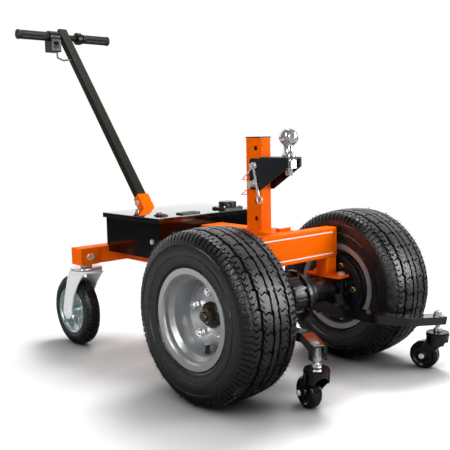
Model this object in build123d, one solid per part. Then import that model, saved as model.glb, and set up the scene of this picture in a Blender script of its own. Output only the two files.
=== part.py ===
from build123d import *
from math import atan2, cos, degrees, hypot, radians, sin, sqrt
import os

# Electric trailer dolly: two driven wheels on a transaxle, a coupling ball on a
# pin-adjusted tower, a battery box, two rear casters, two front stabiliser
# casters on bent arms, and a fold-down tiller with a twist throttle.
# Millimetres. X is across (right is +X), -Y is the coupling end, +Y the tiller
# end, +Z is up. Shapes are drawn with the axle over Y = 0 and the ground at
# Z = 0, then shifted along Y so that the origin is under the middle of the whole.

os.makedirs("parts", exist_ok=True)

# Clearances
FIT = 0.3            # between pieces that seat beside each other
RUNNING = 0.5        # between pieces that turn past each other
FREE = 1.5           # between a pin and what swings on it

# Main wheels
TYRE_OD = 419.0
TYRE_WIDTH = 165.0
WHEEL_TRACK = 524.8
TREAD_WIDTH = 132.0
SHOULDER_DROP = 5.5
TYRE_WALL = 11.0
BEAD_TURN = 6.0
TREAD_GROOVE_WIDTH = 7.0
TREAD_GROOVE_DEPTH = 6.0
TREAD_GROOVES_X = (-42.0, -14.0, 14.0, 42.0)
SHOULDER_LUGS = 30
SHOULDER_NOTCH_WIDTH = 9.0
SHOULDER_NOTCH_REACH = 16.0
RIM_LIP_R = 121.0
RIM_LIP_PLANE = 74.7
RIM_SEAT_R = 103.5
RIM_WELL_R = 92.0
RIM_SEAT_IN = 57.0
RIM_WELL_X = 48.0
RIM_SHEET = 3.0
RIM_DISC_STEP_R = 75.0
RIM_DISC_X = 4.0
LUG_PCD = 114.3
LUG_COUNT = 5
LUG_HOLE = 14.0
HUB_BORE = 64.0
STUD_D = 12.0
LUG_NUT_AF = 19.0
LUG_NUT_H = 18.0
HUB_FLANGE_R = 70.0
HUB_FLANGE_T = 8.0
DRUM_R = 88.0
DRUM_PLANE = 78.0
DRUM_WALL = 6.0
DRUM_PLUG_PCD = 126.0
DRUM_PLUG_R = 7.5
VALVE_R = 5.5
VALVE_LENGTH = 26.0
VALVE_X = 22.0

# Transaxle
TUBE_R = 34.0
TUBE_WALL = 8.0
TUBE_OUTER_END = 183.5
TUBE_FLANGE_R = 44.0
TUBE_FLANGE_T = 6.0
SHAFT_R = 14.0
CASE_R = 60.0
CASE_LEFT = -48.0
CASE_RIGHT = 18.0
CASE_FLANGE_R = 68.0
CASE_FLANGE_T = 12.0
CASE_NECK_R = 40.0
CASE_RING_R = 46.0
CASE_RING_T = 6.0
CASE_END = 52.0
CASE_RIBS = 12
CASE_BOLTS = 8
MOTOR_R = 48.0
MOTOR_LENGTH = 160.0
MOTOR_X = -15.0
MOTOR_FINS = 9
MOTOR_PAD = 3.0

# Frame
BEAM_HALF_X = 167.0
BEAM_DEPTH = 40.0
BEAM_BOTTOM = 297.0
BEAM_TOP = 378.0
TUBE_SHEET = 3.0
LEG_WIDTH = 40.0
FOOT_TOP = 250.0
FOOT_T = 6.0
FOOT_HALF_Y = 60.0
FOOT_OUTER = 176.0
SPINE_HALF_X = 40.0
BOX_FRONT = 318.0
TOWER_WIDTH = 40.0
TOWER_FRONT = 82.0
TOWER_DEPTH = 56.0
TOWER_TOP = 623.0
TOWER_WELD = 9.0
PAD_X = (-4.0, 38.0)
PAD_Y = (30.0, 46.0)
PAD_HEIGHT = 8.0
STRIP_X = (-8.0, 46.0)
STRIP_Y = (28.0, 48.0)
STRIP_T = 2.0
PIN_Y = 100.0
PIN_TOP_Z = 596.0
PIN_PITCH = 46.6
PIN_HOLES = 5
PIN_D = 12.0
PIN_HOLE_D = 12.8
REAR_BEAM_FRONT = 575.0
REAR_BEAM_DEPTH = 50.0
REAR_BEAM_BOTTOM = 258.0
REAR_BEAM_HEIGHT = 50.0
REAR_BEAM_HALF_X = 276.0
END_PLATE_T = 4.0
END_PLATE_WIDTH = 61.0
RAIL_X = 100.0
RAIL_WIDTH = 40.0
RAIL_HEIGHT = 32.0
CROSS_FRONT = 230.0
CROSS_DEPTH = 40.0

# Stabiliser arms and their clamps
ARM_WIDTH = 32.0
ARM_HEIGHT = 22.0
ARM_SHEET = 3.5
ARM_BOTTOM = 150.0
ARM_REAR = 62.0
ARM_X = 127.0
ARM_BEND_R = 30.0
ARM_TIP_REACH = 17.0
RIGHT_ARM_BENDS = [(ARM_X, -190.0), (190.0, -232.0)]
LEFT_ARM_BENDS = [(-ARM_X, -172.0)]
RIGHT_ARM_DROP = 26.0
LEFT_ARM_DROP = 13.0
CHEEK_DEPTH = 38.0
CHEEK_REACH = 4.0
LONG_NUT = 34.0
CLAMP_BOLT_X = 160.0
CLAMP_BOLT_Y = 42.0
CLAMP_BOLT_D = 10.0
CLAMP_TOP = 205.0
CLAMP_HALF_Y = 58.0

# Front stabiliser casters
RIGHT_SWIVEL = (305.0, -250.0)
LEFT_SWIVEL = (-150.0, -222.0)
RIGHT_YAW = 14.8
LEFT_YAW = -17.8
SMALL_WHEEL_R = 37.5
SMALL_WHEEL_W = 32.0
SMALL_TRAIL = 34.0
SMALL_DISC_R = 31.0
SMALL_DISC_TOP = 104.0
SMALL_CUP_R = 29.0
SMALL_CUP_DEPTH = 28.0
SMALL_ARCH_Z = 68.0
SMALL_FORK_T = 2.5
CASTER_STUD_R = 6.0

# Rear casters
REAR_SWIVEL = (247.0, 600.0)
REAR_WHEEL_R = 108.0
REAR_WHEEL_W = 48.0
REAR_TRAIL = 62.0
REAR_RIM_R = 64.0
REAR_LIP = 7.0
REAR_LIP_X = 21.5
REAR_RIM_SHEET = 2.4
REAR_DISC_R = 47.0
REAR_DISC_TOP = 248.0
REAR_DISC_T = 7.0
REAR_FORK_T = 4.0
REAR_HUB_W = 62.0
REAR_AXLE_LOBE = 24.0
STEM_R = 11.0

# Coupling head
BALL_D = 50.8
BALL_Z = 625.0
BALL_Y = -1.0
BALL_NECK_R = 13.5
BALL_FLANGE_R = 19.0
BALL_FLANGE_H = 8.0
SHANK_R = 10.0
BALL_NUT_AF = 34.0
MOUNT_SHEET = 5.0
MOUNT_TOP = 573.0
MOUNT_FRONT = -22.0
MOUNT_REAR = 119.0
MOUNT_NOSE_LOW = 549.0
MOUNT_HEEL_Z = 487.0
PIN_HEAD_R = 8.0
BAIL_WIRE = 3.0
BAIL_LENGTH = 60.0
UPPER_BAIL_DROP = 39.0
LOWER_BAIL_DROP = 32.0
STRAP_LENGTH = 90.5
STRAP_T = 2.2
STRAP_LEAN = 14.0

# Battery box
BOX_HALF_X = 182.0
BOX_REAR = 582.0
BOX_HEIGHT = 115.0
BOX_SHEET = 2.5
LID_OVERHANG = 8.0
LID_SKIRT = 14.0
LID_SHEET = 2.0
BATTERY_SIZE = (151.0, 98.0, 95.0)
BOX_BOLT = (348.0, 340.0)

# Tiller
PIVOT_Y = 643.0
PIVOT_Z = 420.0
LEAN = 38.7
POLE_WIDTH = 34.0
POLE_DEPTH = 25.0
POLE_SHEET = 2.5
POLE_REACH = 763.0
BAR_REACH = 732.0
BAR_R = 11.1
GRIP_R = 17.0
LEFT_GRIP = (-183.0, -68.0)
RIGHT_GRIP = (71.0, 183.0)
THROTTLE_RING = (46.0, 66.0)
THROTTLE_RING_R = 21.5
SWITCH_X = (-66.0, -28.0)
BRACKET_SHEET = 3.5
PIVOT_BOLT_R = 5.0
BRACKET_TOP = 24.0
CABLE_R = 3.0
CABLE_ENTRY = 110.0
TOGGLE_TILT = 9.0
TOGGLE_PIVOT = 1.5

# Lid fittings
ROCKER_SPOT = (-140.0, 362.0)
ROCKER_PIVOT_Z = 3.0
ROCKER_TILT = 7.0
PIVOT_SEAT_R = 1.2
GAUGE_SPOT = (-50.0, 352.0)
GAUGE_SIZE = (70.0, 30.0, 5.0)
ISOLATOR_SPOT = (118.0, 368.0)
ISOLATOR_BASE = (78.0, 60.0, 6.0)
ISOLATOR_KNOB_R = 27.0
ISOLATOR_KNOB_H = 16.0
KNOB_SHAFT_R = 5.0

# Places that follow from the sizes above
AXLE_Z = TYRE_OD / 2
WHEEL_X = WHEEL_TRACK / 2
LID_TOP = BEAM_TOP + 30.0
BOX_TOP = LID_TOP - LID_SHEET - FIT
BOX_BOTTOM = BOX_TOP - BOX_HEIGHT
REAR_BEAM_TOP = REAR_BEAM_BOTTOM + REAR_BEAM_HEIGHT
REAR_BEAM_REAR = REAR_BEAM_FRONT + REAR_BEAM_DEPTH
RAIL_TOP = BOX_BOTTOM
RAIL_BOTTOM = RAIL_TOP - RAIL_HEIGHT
PINS_Z = [PIN_TOP_Z - PIN_PITCH * i for i in range(PIN_HOLES)]
MOUNT_HALF_X = TOWER_WIDTH / 2 + FIT + MOUNT_SHEET
MOUNT_UNDER = MOUNT_TOP - MOUNT_SHEET

PARTS = {}


def block(x, y, z):
    """Box between the two values of each of x, y and z."""
    size = (x[1] - x[0], y[1] - y[0], z[1] - z[0])
    return Pos(*[(a + b) / 2 for a, b in (x, y, z)]) * Box(*size)


def rod_x(radius, x, y, z):
    """Round bar along X between the two values of x."""
    return Pos((x[0] + x[1]) / 2, y, z) * Rot(0, 90, 0) * Cylinder(radius, x[1] - x[0])


def rod_y(radius, x, y, z):
    """Round bar along Y between the two values of y."""
    return Pos(x, (y[0] + y[1]) / 2, z) * Rot(90, 0, 0) * Cylinder(radius, y[1] - y[0])


def rod_z(radius, x, y, z):
    """Round bar along Z between the two values of z."""
    return Pos(x, y, (z[0] + z[1]) / 2) * Cylinder(radius, z[1] - z[0])


def hexagon(across_flats, height):
    """Six-sided bar standing on Z = 0, measured across its flats."""
    return extrude(RegularPolygon(across_flats / sqrt(3), 6), height)


def spun(points):
    """Solid of revolution about X of a closed outline of (x, radius) points."""
    return revolve(make_face(Polyline(*points, close=True)), Axis.X)


def side_plate(points, x):
    """Plate of a (y, z) outline between the two values of x."""
    outline = Polyline(*[(0, y, z) for y, z in points], close=True)
    return Pos(x[0], 0, 0) * extrude(make_face(outline), x[1] - x[0], dir=(1, 0, 0))


def square_tube(x, y, z, sheet, along):
    """Box tube whose bore runs along the named axis, with rounded long edges."""
    axis = {"x": Axis.X, "y": Axis.Y, "z": Axis.Z}[along]
    spans = {"x": x, "y": y, "z": z}
    outer = block(x, y, z)
    outer = fillet(outer.edges().filter_by(axis), sheet * 1.4)
    bore = {k: ((s[0] - 1, s[1] + 1) if k == along else (s[0] + sheet, s[1] - sheet))
            for k, s in spans.items()}
    return outer - block(bore["x"], bore["y"], bore["z"])


def arm_point(along, across):
    """Point (y, z) on the tiller, from its pivot: along the pole, and rearward across it."""
    lean = radians(LEAN)
    return (PIVOT_Y + along * sin(lean) + across * cos(lean),
            PIVOT_Z + along * cos(lean) - across * sin(lean))


def both(name, right):
    """Keep a right-hand piece and its mirror image under left_ and right_ names."""
    PARTS["right_" + name] = right
    PARTS["left_" + name] = mirror(right, about=Plane.YZ)


# Main wheels, drawn about X with the outboard side at +X, then moved to the axle

def tyre():
    half = TYRE_WIDTH / 2
    tread = TREAD_WIDTH / 2
    bead = RIM_LIP_PLANE - RIM_SHEET - 1 - FIT
    radius = TYRE_OD / 2
    seat = RIM_SEAT_R + RIM_SHEET / 2 + FIT
    side_r = (RIM_LIP_R + radius) / 2 - 4
    shoulder = radius - SHOULDER_DROP
    wall = TYRE_WALL
    outer = [
        Line((bead - wall, seat), (bead - BEAD_TURN, seat)),
        Line((bead - BEAD_TURN, seat), (bead, seat + BEAD_TURN)),
        Line((bead, seat + BEAD_TURN), (bead, RIM_LIP_R)),
        ThreePointArc((bead, RIM_LIP_R), (half, side_r), (tread + 9, shoulder - 7)),
        Line((tread + 9, shoulder - 7), (tread, shoulder)),
        ThreePointArc((tread, shoulder), (0, radius), (-tread, shoulder)),
        Line((-tread, shoulder), (-tread - 9, shoulder - 7)),
        ThreePointArc((-tread - 9, shoulder - 7), (-half, side_r), (-bead, RIM_LIP_R)),
        Line((-bead, RIM_LIP_R), (-bead, seat + BEAD_TURN)),
        Line((-bead, seat + BEAD_TURN), (-bead + BEAD_TURN, seat)),
        Line((-bead + BEAD_TURN, seat), (-bead + wall, seat)),
    ]
    crown = radius - wall - TREAD_GROOVE_DEPTH
    inner = [
        ThreePointArc((-bead + wall, seat), (-half + wall, side_r), (-tread + 2, crown - 6)),
        ThreePointArc((-tread + 2, crown - 6), (0, crown), (tread - 2, crown - 6)),
        ThreePointArc((tread - 2, crown - 6), (half - wall, side_r), (bead - wall, seat)),
    ]
    body = revolve(make_face(Wire(outer + inner)), Axis.X)
    for x in TREAD_GROOVES_X:
        floor = radius - TREAD_GROOVE_DEPTH - (radius - shoulder) * (x / tread) ** 2
        x0, x1 = x - TREAD_GROOVE_WIDTH / 2, x + TREAD_GROOVE_WIDTH / 2
        body -= spun([(x0, floor), (x1, floor), (x1, radius + 2), (x0, radius + 2)])
    notch = block((tread - 2, tread + SHOULDER_NOTCH_REACH),
                  (-SHOULDER_NOTCH_WIDTH / 2, SHOULDER_NOTCH_WIDTH / 2),
                  (shoulder - 8, radius + 2))
    notches = [Rot(360 / SHOULDER_LUGS * i, 0, 0) * notch for i in range(SHOULDER_LUGS)]
    notches += [mirror(n, about=Plane.YZ) for n in notches]
    return body - notches


def rim():
    lip = RIM_LIP_PLANE - RIM_SHEET / 2
    profile = [(lip, RIM_LIP_R), (lip - 1, RIM_SEAT_R + 4), (lip - 5, RIM_SEAT_R),
               (RIM_SEAT_IN, RIM_SEAT_R), (RIM_WELL_X, RIM_WELL_R)]
    profile += [(-x, r) for x, r in reversed(profile)]
    barrel = revolve(trace(Polyline(*profile), RIM_SHEET), Axis.X)
    dish = [(-RIM_DISC_X, RIM_WELL_R), (-RIM_DISC_X, RIM_DISC_STEP_R + 6),
            (RIM_DISC_X, RIM_DISC_STEP_R - 2), (RIM_DISC_X, HUB_BORE / 2)]
    disc = revolve(trace(Polyline(*dish), RIM_SHEET + 1), Axis.X)
    holes = [around(rod_x(LUG_HOLE / 2, (-10, 20), 0, LUG_PCD / 2), i, LUG_COUNT)
             for i in range(LUG_COUNT)]
    bore = rod_x(HUB_BORE / 2 + FIT, (-20, 20), 0, 0)
    valve_hole = Pos(VALVE_X, 0, 0) * rod_z(VALVE_R - 1.5, 0, 0, (-RIM_WELL_R - 9, -RIM_WELL_R + 9))
    return barrel + disc - holes - bore - valve_hole


def around(shape, index, count, start=0.0):
    """Copy of a shape turned about X to one of the even places round the axle."""
    return Rot(start + 360 / count * index, 0, 0) * shape


DISC_OUT = RIM_DISC_X + (RIM_SHEET + 1) / 2
DISC_IN = RIM_DISC_X - (RIM_SHEET + 1) / 2


def hub():
    """Hub flange with studs, and the brake drum behind it."""
    flange_in = DISC_IN - HUB_FLANGE_T
    nose = HUB_BORE / 2 - FIT
    shell = [(-DRUM_PLANE, SHAFT_R + FIT), (-DRUM_PLANE, DRUM_R),
             (flange_in - 14, DRUM_R), (flange_in - 6, HUB_FLANGE_R), (DISC_IN, HUB_FLANGE_R),
             (DISC_IN, nose), (DISC_OUT + 6, nose), (DISC_OUT + 9, nose - 6),
             (DISC_OUT + 9, SHAFT_R + FIT)]
    body = spun(shell)
    groove = [(-DRUM_PLANE + 14, DRUM_R - 3), (-DRUM_PLANE + 20, DRUM_R - 3),
              (-DRUM_PLANE + 20, DRUM_R + 1), (-DRUM_PLANE + 14, DRUM_R + 1)]
    body -= spun(groove)
    studs = [around(rod_x(STUD_D / 2, (DISC_IN - 4, DISC_OUT + LUG_NUT_H - 3), 0, LUG_PCD / 2),
                    i, LUG_COUNT) for i in range(LUG_COUNT)]
    plugs = [around(rod_x(DRUM_PLUG_R, (-DRUM_PLANE - 3, -DRUM_PLANE + 4), 0,
                          DRUM_PLUG_PCD / 2), i, LUG_COUNT, 20) for i in range(LUG_COUNT)]
    return body + studs + plugs


def wheel_nuts():
    """Five lug nuts with rounded tops, the castle nut and the valve stem."""
    seat = DISC_OUT
    bolt_gap = STUD_D / 2 + FIT
    cone = [(seat - 1.5, bolt_gap), (seat, LUG_HOLE / 2), (seat + 5, LUG_NUT_AF / 2 - 1),
            (seat + LUG_NUT_H - 4, LUG_NUT_AF / 2 - 1), (seat + LUG_NUT_H, LUG_NUT_AF / 4 + 1),
            (seat + LUG_NUT_H, 0), (seat + LUG_NUT_H - 2.5, 0), (seat + LUG_NUT_H - 2.5, bolt_gap)]
    hexed = Pos(seat + 3, 0, 0) * Rot(0, 90, 0) * hexagon(LUG_NUT_AF, LUG_NUT_H - 6)
    hexed -= rod_x(bolt_gap, (seat, seat + LUG_NUT_H - 2.5), 0, 0)
    nut = Pos(0, 0, LUG_PCD / 2) * (spun(cone) + hexed)
    nuts = [around(nut, i, LUG_COUNT) for i in range(LUG_COUNT)]
    castle_start = DISC_OUT + 9 + FIT
    castle = Pos(castle_start, 0, 0) * Rot(0, 90, 0) * hexagon(34, 14)
    castle -= rod_x(SHAFT_R - 2.5, (castle_start - 1, castle_start + 16), 0, 0)
    castle -= [around(block((castle_start + 9, castle_start + 15), (-2, 2), (10, 22)), i, 6)
               for i in range(6)]
    return nuts + [castle]


def valve_stem():
    """Rubber valve that leans out of the rim well."""
    body = rod_z(VALVE_R, 0, 0, (RIM_SHEET, VALVE_LENGTH)) + rod_z(VALVE_R + 1.5, 0, 0,
                                                               (RIM_SHEET / 2 + FIT * 1.5, 8))
    body += rod_z(VALVE_R - 1.8, 0, 0, (-4, 4))
    return Pos(VALVE_X, 0, -RIM_WELL_R) * body


def axle_shaft():
    """Driven half shaft from the gearcase through the tube to the castle nut."""
    inner = CASE_END + FIT - WHEEL_X
    shoulder = DISC_OUT + 9 + FIT
    outline = [(inner, 0), (inner, SHAFT_R), (shoulder, SHAFT_R),
               (shoulder, SHAFT_R - 2.5 - FIT), (shoulder + 20, SHAFT_R - 2.5 - FIT),
               (shoulder + 22, SHAFT_R - 4.5), (shoulder + 22, 0)]
    shaft = spun(outline)
    pin = rod_z(1.6, shoulder + 12, 0, (-20, 20))
    return shaft + pin


def main_wheels():
    place = Pos(WHEEL_X, 0, AXLE_Z)
    both("tyre", place * tyre())
    both("rim", place * rim())
    both("hub", place * hub())
    both("lug_nuts", Compound(children=[place * s for s in wheel_nuts() + [valve_stem()]]))
    both("axle_shaft", place * axle_shaft())


# Transaxle

def transaxle():
    neck = CASE_END - CASE_RING_T
    flange = CASE_RIGHT - CASE_FLANGE_T
    case = spun([(-CASE_END, 0), (-CASE_END, CASE_RING_R), (-neck, CASE_RING_R),
                 (-neck, CASE_NECK_R), (CASE_LEFT + 10, CASE_R), (flange, CASE_R),
                 (flange, CASE_FLANGE_R), (CASE_RIGHT, CASE_FLANGE_R), (CASE_RIGHT, CASE_R - 4),
                 (neck, CASE_NECK_R), (neck, CASE_RING_R), (CASE_END, CASE_RING_R),
                 (CASE_END, 0)])
    rib = side_plate([(-2.5, CASE_NECK_R - 6), (2.5, CASE_NECK_R - 6), (2.5, CASE_NECK_R + 14),
                      (-2.5, CASE_NECK_R + 14)], (CASE_RIGHT - 2, neck))
    rib &= spun([(CASE_RIGHT - 2, 0), (CASE_RIGHT - 2, CASE_FLANGE_R - 8),
                 (neck, CASE_RING_R - 1), (neck, 0)])
    long_rib = block((CASE_LEFT + 14, flange + 1), (-2.5, 2.5), (CASE_R - 4, CASE_R + 4))
    ribs = [around(r, i, CASE_RIBS) for r in (rib, long_rib) for i in range(CASE_RIBS)]
    head = Pos(flange, 0, CASE_FLANGE_R - 5) * Rot(0, -90, 0) * hexagon(9, 5)
    heads = [around(head, i, CASE_BOLTS, 22.5) for i in range(CASE_BOLTS)]
    pad = rod_y(MOTOR_R - 6, MOTOR_X, (CASE_RING_R + 1, CASE_FLANGE_R + MOTOR_PAD), 0)
    fill = rod_x(CASE_R - 1, (CASE_LEFT + 12, flange), 0, 0)
    case = case + ribs + heads + (pad + fill)
    PARTS["gearcase"] = Pos(0, 0, AXLE_Z) * case

    inner = TUBE_R - TUBE_WALL
    start = CASE_END
    flange_x = TUBE_OUTER_END - TUBE_FLANGE_T
    tube = spun([(start, inner), (start, TUBE_R), (flange_x, TUBE_R),
                 (flange_x, TUBE_FLANGE_R), (TUBE_OUTER_END, TUBE_FLANGE_R),
                 (TUBE_OUTER_END, SHAFT_R + RUNNING), (TUBE_OUTER_END - 12, SHAFT_R + RUNNING),
                 (TUBE_OUTER_END - 12, inner)])
    ring = spun([(start, TUBE_R - 1), (start, CASE_RING_R), (start + CASE_RING_T, CASE_RING_R),
                 (start + CASE_RING_T, TUBE_R - 1)])
    tube = Pos(0, 0, AXLE_Z) * (tube + ring)
    PARTS["axle_tubes"] = Compound(children=[tube, mirror(tube, about=Plane.YZ)])

    rear = CASE_FLANGE_R + MOTOR_PAD
    motor = rod_y(MOTOR_R, MOTOR_X, (rear, rear + MOTOR_LENGTH), AXLE_Z)
    cap_edge = motor.edges().filter_by(GeomType.CIRCLE).sort_by(Axis.Y)[-1]
    motor = fillet(cap_edge, 6)
    gap = MOTOR_LENGTH * 0.6 / MOTOR_FINS
    for i in range(MOTOR_FINS):
        y = rear + 24 + gap * i
        cut = rod_y(MOTOR_R + 2, MOTOR_X, (y, y + gap * 0.45), AXLE_Z)
        motor -= cut - rod_y(MOTOR_R - 4, MOTOR_X, (y - 1, y + gap), AXLE_Z)
    terminals = [rod_z(5, MOTOR_X + s, rear + MOTOR_LENGTH - 20, (AXLE_Z + 40, AXLE_Z + MOTOR_R + 9))
                 for s in (-16, 16)]
    PARTS["drive_motor"] = motor + terminals


# Frame

def frame():
    half = BEAM_DEPTH / 2
    beam = square_tube((-BEAM_HALF_X, BEAM_HALF_X), (-half, half), (BEAM_BOTTOM, BEAM_TOP),
                       TUBE_SHEET, "x")
    PARTS["front_beam"] = beam

    inner = BEAM_HALF_X - LEG_WIDTH
    leg = square_tube((inner, BEAM_HALF_X), (-half, half), (FOOT_TOP, BEAM_BOTTOM),
                      TUBE_SHEET, "z")
    foot = block((inner, FOOT_OUTER), (-FOOT_HALF_Y, FOOT_HALF_Y), (FOOT_TOP - FOOT_T, FOOT_TOP))
    foot = fillet(foot.edges().filter_by(Axis.Z), 9)
    foot -= [rod_z(CLAMP_BOLT_D / 2 + FIT, CLAMP_BOLT_X, y, (FOOT_TOP - 9, FOOT_TOP + 9))
             for y in (-CLAMP_BOLT_Y, CLAMP_BOLT_Y)]
    leg = leg + foot
    PARTS["axle_legs"] = Compound(children=[leg, mirror(leg, about=Plane.YZ)])

    spine_rear = BOX_FRONT - LID_OVERHANG - 2
    spine = square_tube((-SPINE_HALF_X, SPINE_HALF_X), (half, spine_rear),
                        (BEAM_BOTTOM, BEAM_TOP), TUBE_SHEET, "y")
    pad = block(PAD_X, PAD_Y, (BEAM_TOP - 1, BEAM_TOP + PAD_HEIGHT))
    PARTS["spine_rail"] = spine + pad

    cross = square_tube((-RAIL_X - RAIL_WIDTH / 2, RAIL_X + RAIL_WIDTH / 2),
                        (CROSS_FRONT, CROSS_FRONT + CROSS_DEPTH), (RAIL_BOTTOM, BEAM_BOTTOM),
                        TUBE_SHEET, "x")
    rail = square_tube((RAIL_X - RAIL_WIDTH / 2, RAIL_X + RAIL_WIDTH / 2),
                       (CROSS_FRONT + CROSS_DEPTH, REAR_BEAM_FRONT), (RAIL_BOTTOM, RAIL_TOP),
                       TUBE_SHEET, "y")
    PARTS["lower_frame"] = Compound(children=[cross, rail, mirror(rail, about=Plane.YZ)])

    rear = square_tube((-REAR_BEAM_HALF_X, REAR_BEAM_HALF_X), (REAR_BEAM_FRONT, REAR_BEAM_REAR),
                       (REAR_BEAM_BOTTOM, REAR_BEAM_TOP), TUBE_SHEET, "x")
    stem_holes = [rod_z(STEM_R + FIT, s * REAR_SWIVEL[0], REAR_SWIVEL[1],
                        (REAR_BEAM_BOTTOM - 5, REAR_BEAM_BOTTOM + 5)) for s in (-1, 1)]
    end = REAR_BEAM_HALF_X + END_PLATE_T
    closing = block((REAR_BEAM_HALF_X, end), (REAR_BEAM_FRONT, REAR_BEAM_REAR),
                    (REAR_BEAM_BOTTOM, REAR_BEAM_TOP))
    facing = block((end - END_PLATE_WIDTH, end), (REAR_BEAM_FRONT - END_PLATE_T, REAR_BEAM_FRONT),
                   (REAR_BEAM_BOTTOM, REAR_BEAM_TOP))
    plates = [closing + facing, mirror(closing + facing, about=Plane.YZ)]
    PARTS["rear_beam"] = rear + plates - stem_holes

    front = TOWER_FRONT
    back = TOWER_FRONT + TOWER_DEPTH
    wide = TOWER_WIDTH / 2
    tower = square_tube((-wide, wide), (front, back), (BEAM_TOP, TOWER_TOP), TUBE_SHEET, "z")
    tower -= [rod_x(PIN_HOLE_D / 2, (-wide - 5, wide + 5), PIN_Y, z) for z in PINS_Z]
    weld = loft([Pos(0, (front + back) / 2, BEAM_TOP) *
                 Rectangle(TOWER_WIDTH + TOWER_WELD, TOWER_DEPTH + TOWER_WELD),
                 Pos(0, (front + back) / 2, BEAM_TOP + TOWER_WELD / 2) *
                 Rectangle(TOWER_WIDTH, TOWER_DEPTH)])
    weld -= block((-wide + 2, wide - 2), (front + 2, back - 2), (BEAM_TOP - 1, BEAM_TOP + 20))
    PARTS["tower"] = tower + weld

    cap = block((-wide, wide), (front, back), (TOWER_TOP, TOWER_TOP + 3))
    cap += block((-wide + TUBE_SHEET + FIT, wide - TUBE_SHEET - FIT),
                 (front + TUBE_SHEET + FIT, back - TUBE_SHEET - FIT), (TOWER_TOP - 12, TOWER_TOP))
    PARTS["tower_cap"] = cap

    strip_z = BEAM_TOP + PAD_HEIGHT
    PARTS["foot_strip"] = block(STRIP_X, STRIP_Y, (strip_z, strip_z + STRIP_T))


def tiller_bracket():
    """Folded bracket on the rear beam that carries the tiller pivot."""
    front = -POLE_DEPTH / 2 - FIT - BRACKET_SHEET
    outline = [arm_point(BRACKET_TOP, front), arm_point(BRACKET_TOP, POLE_DEPTH / 2),
               arm_point(-14, POLE_DEPTH / 2 + 3), (REAR_BEAM_REAR, REAR_BEAM_TOP),
               (REAR_BEAM_FRONT + 12, REAR_BEAM_TOP)]
    knee = arm_point(-42, front)
    outline.append(knee)
    half = POLE_WIDTH / 2 + FIT
    body = side_plate(outline, (-half - BRACKET_SHEET, half + BRACKET_SHEET))
    shift = BRACKET_SHEET
    hollow = [arm_point(BRACKET_TOP + 5, front + shift), arm_point(BRACKET_TOP + 5, 60),
              arm_point(-14, 60), (REAR_BEAM_REAR + 60, REAR_BEAM_TOP + shift),
              (REAR_BEAM_FRONT + 12 + shift, REAR_BEAM_TOP + shift),
              (knee[0] + shift * 1.15, knee[1])]
    body -= side_plate(hollow, (-half, half))
    bolt_r = PIVOT_BOLT_R + FIT
    PARTS["pole_bracket"] = body - rod_x(bolt_r, (-60, 60), PIVOT_Y, PIVOT_Z)


def fasteners():
    """Bolts and nuts of the frame, the pivot bolt, and the nut under the ball."""
    pieces = []
    for x in (-CLAMP_BOLT_X, CLAMP_BOLT_X):
        for y in (-CLAMP_BOLT_Y, CLAMP_BOLT_Y):
            bolt = rod_z(CLAMP_BOLT_D / 2, x, y, (ARM_BOTTOM - 22, FOOT_TOP + 1))
            bolt += Pos(x, y, FOOT_TOP) * hexagon(17, 7)
            bolt += Pos(x, y, ARM_BOTTOM - 9) * hexagon(17, 9)
            pieces.append(bolt)
    reach = POLE_WIDTH / 2 + FIT + BRACKET_SHEET
    pivot = rod_x(PIVOT_BOLT_R, (-reach - 1, reach + 12), PIVOT_Y, PIVOT_Z)
    pivot += Pos(-reach, PIVOT_Y, PIVOT_Z) * Rot(0, -90, 0) * hexagon(17, 7)
    pivot += Pos(reach, PIVOT_Y, PIVOT_Z) * Rot(0, 90, 0) * hexagon(17, 9)
    pieces.append(pivot)
    for s in (-1, 1):
        x = s * (REAR_BEAM_HALF_X + END_PLATE_T - END_PLATE_WIDTH / 2)
        head = Pos(x, REAR_BEAM_FRONT - END_PLATE_T, REAR_BEAM_BOTTOM + 24)
        head *= Rot(90, 0, 0) * hexagon(19, 7)
        pieces.append(head)
        side = Pos(s * BOX_HALF_X, BOX_BOLT[0], BOX_BOLT[1]) * Rot(0, s * 90, 0) * hexagon(13, 5)
        pieces.append(side)
    washer = rod_z(20, 0, BALL_Y, (MOUNT_UNDER - 4, MOUNT_UNDER))
    nut = Pos(0, BALL_Y, MOUNT_UNDER - 4 - 20) * hexagon(BALL_NUT_AF, 20)
    nut = washer + nut - rod_z(SHANK_R + 0.1, 0, BALL_Y, (MOUNT_UNDER - 40, MOUNT_UNDER + 9))
    pieces.append(nut)
    PARTS["frame_bolts"] = Compound(children=pieces)


# Stabiliser arms

def channel_section(width, height, sheet):
    """Inverted channel, its top at +height/2."""
    outer = Rectangle(width, height)
    inner = Pos(0, -sheet) * Rectangle(width - 2 * sheet, height)
    return outer - inner


def arm_route(bends, swivel, drop):
    """Points along an arm's middle, its direction, and its height and slope at the swivel."""
    z = ARM_BOTTOM + ARM_HEIGHT / 2
    points = [(bends[0][0], ARM_REAR)] + bends + [swivel]
    runs = [hypot(b[0] - a[0], b[1] - a[1]) for a, b in zip(points, points[1:])]
    fallen = [0.0, 0.0]
    for run in runs[1:]:
        fallen.append(fallen[-1] + drop * run / sum(runs[1:]))
    ux = (points[-1][0] - points[-2][0]) / runs[-1]
    uy = (points[-1][1] - points[-2][1]) / runs[-1]
    points[-1] = (swivel[0] + ux * ARM_TIP_REACH, swivel[1] + uy * ARM_TIP_REACH)
    route = [(p[0], p[1], z - f) for p, f in zip(points, fallen)]
    slope = (fallen[-1] - fallen[-2]) / (runs[-1] + ARM_TIP_REACH)
    return route, (ux, uy), z - drop + slope * ARM_TIP_REACH, slope


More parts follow.
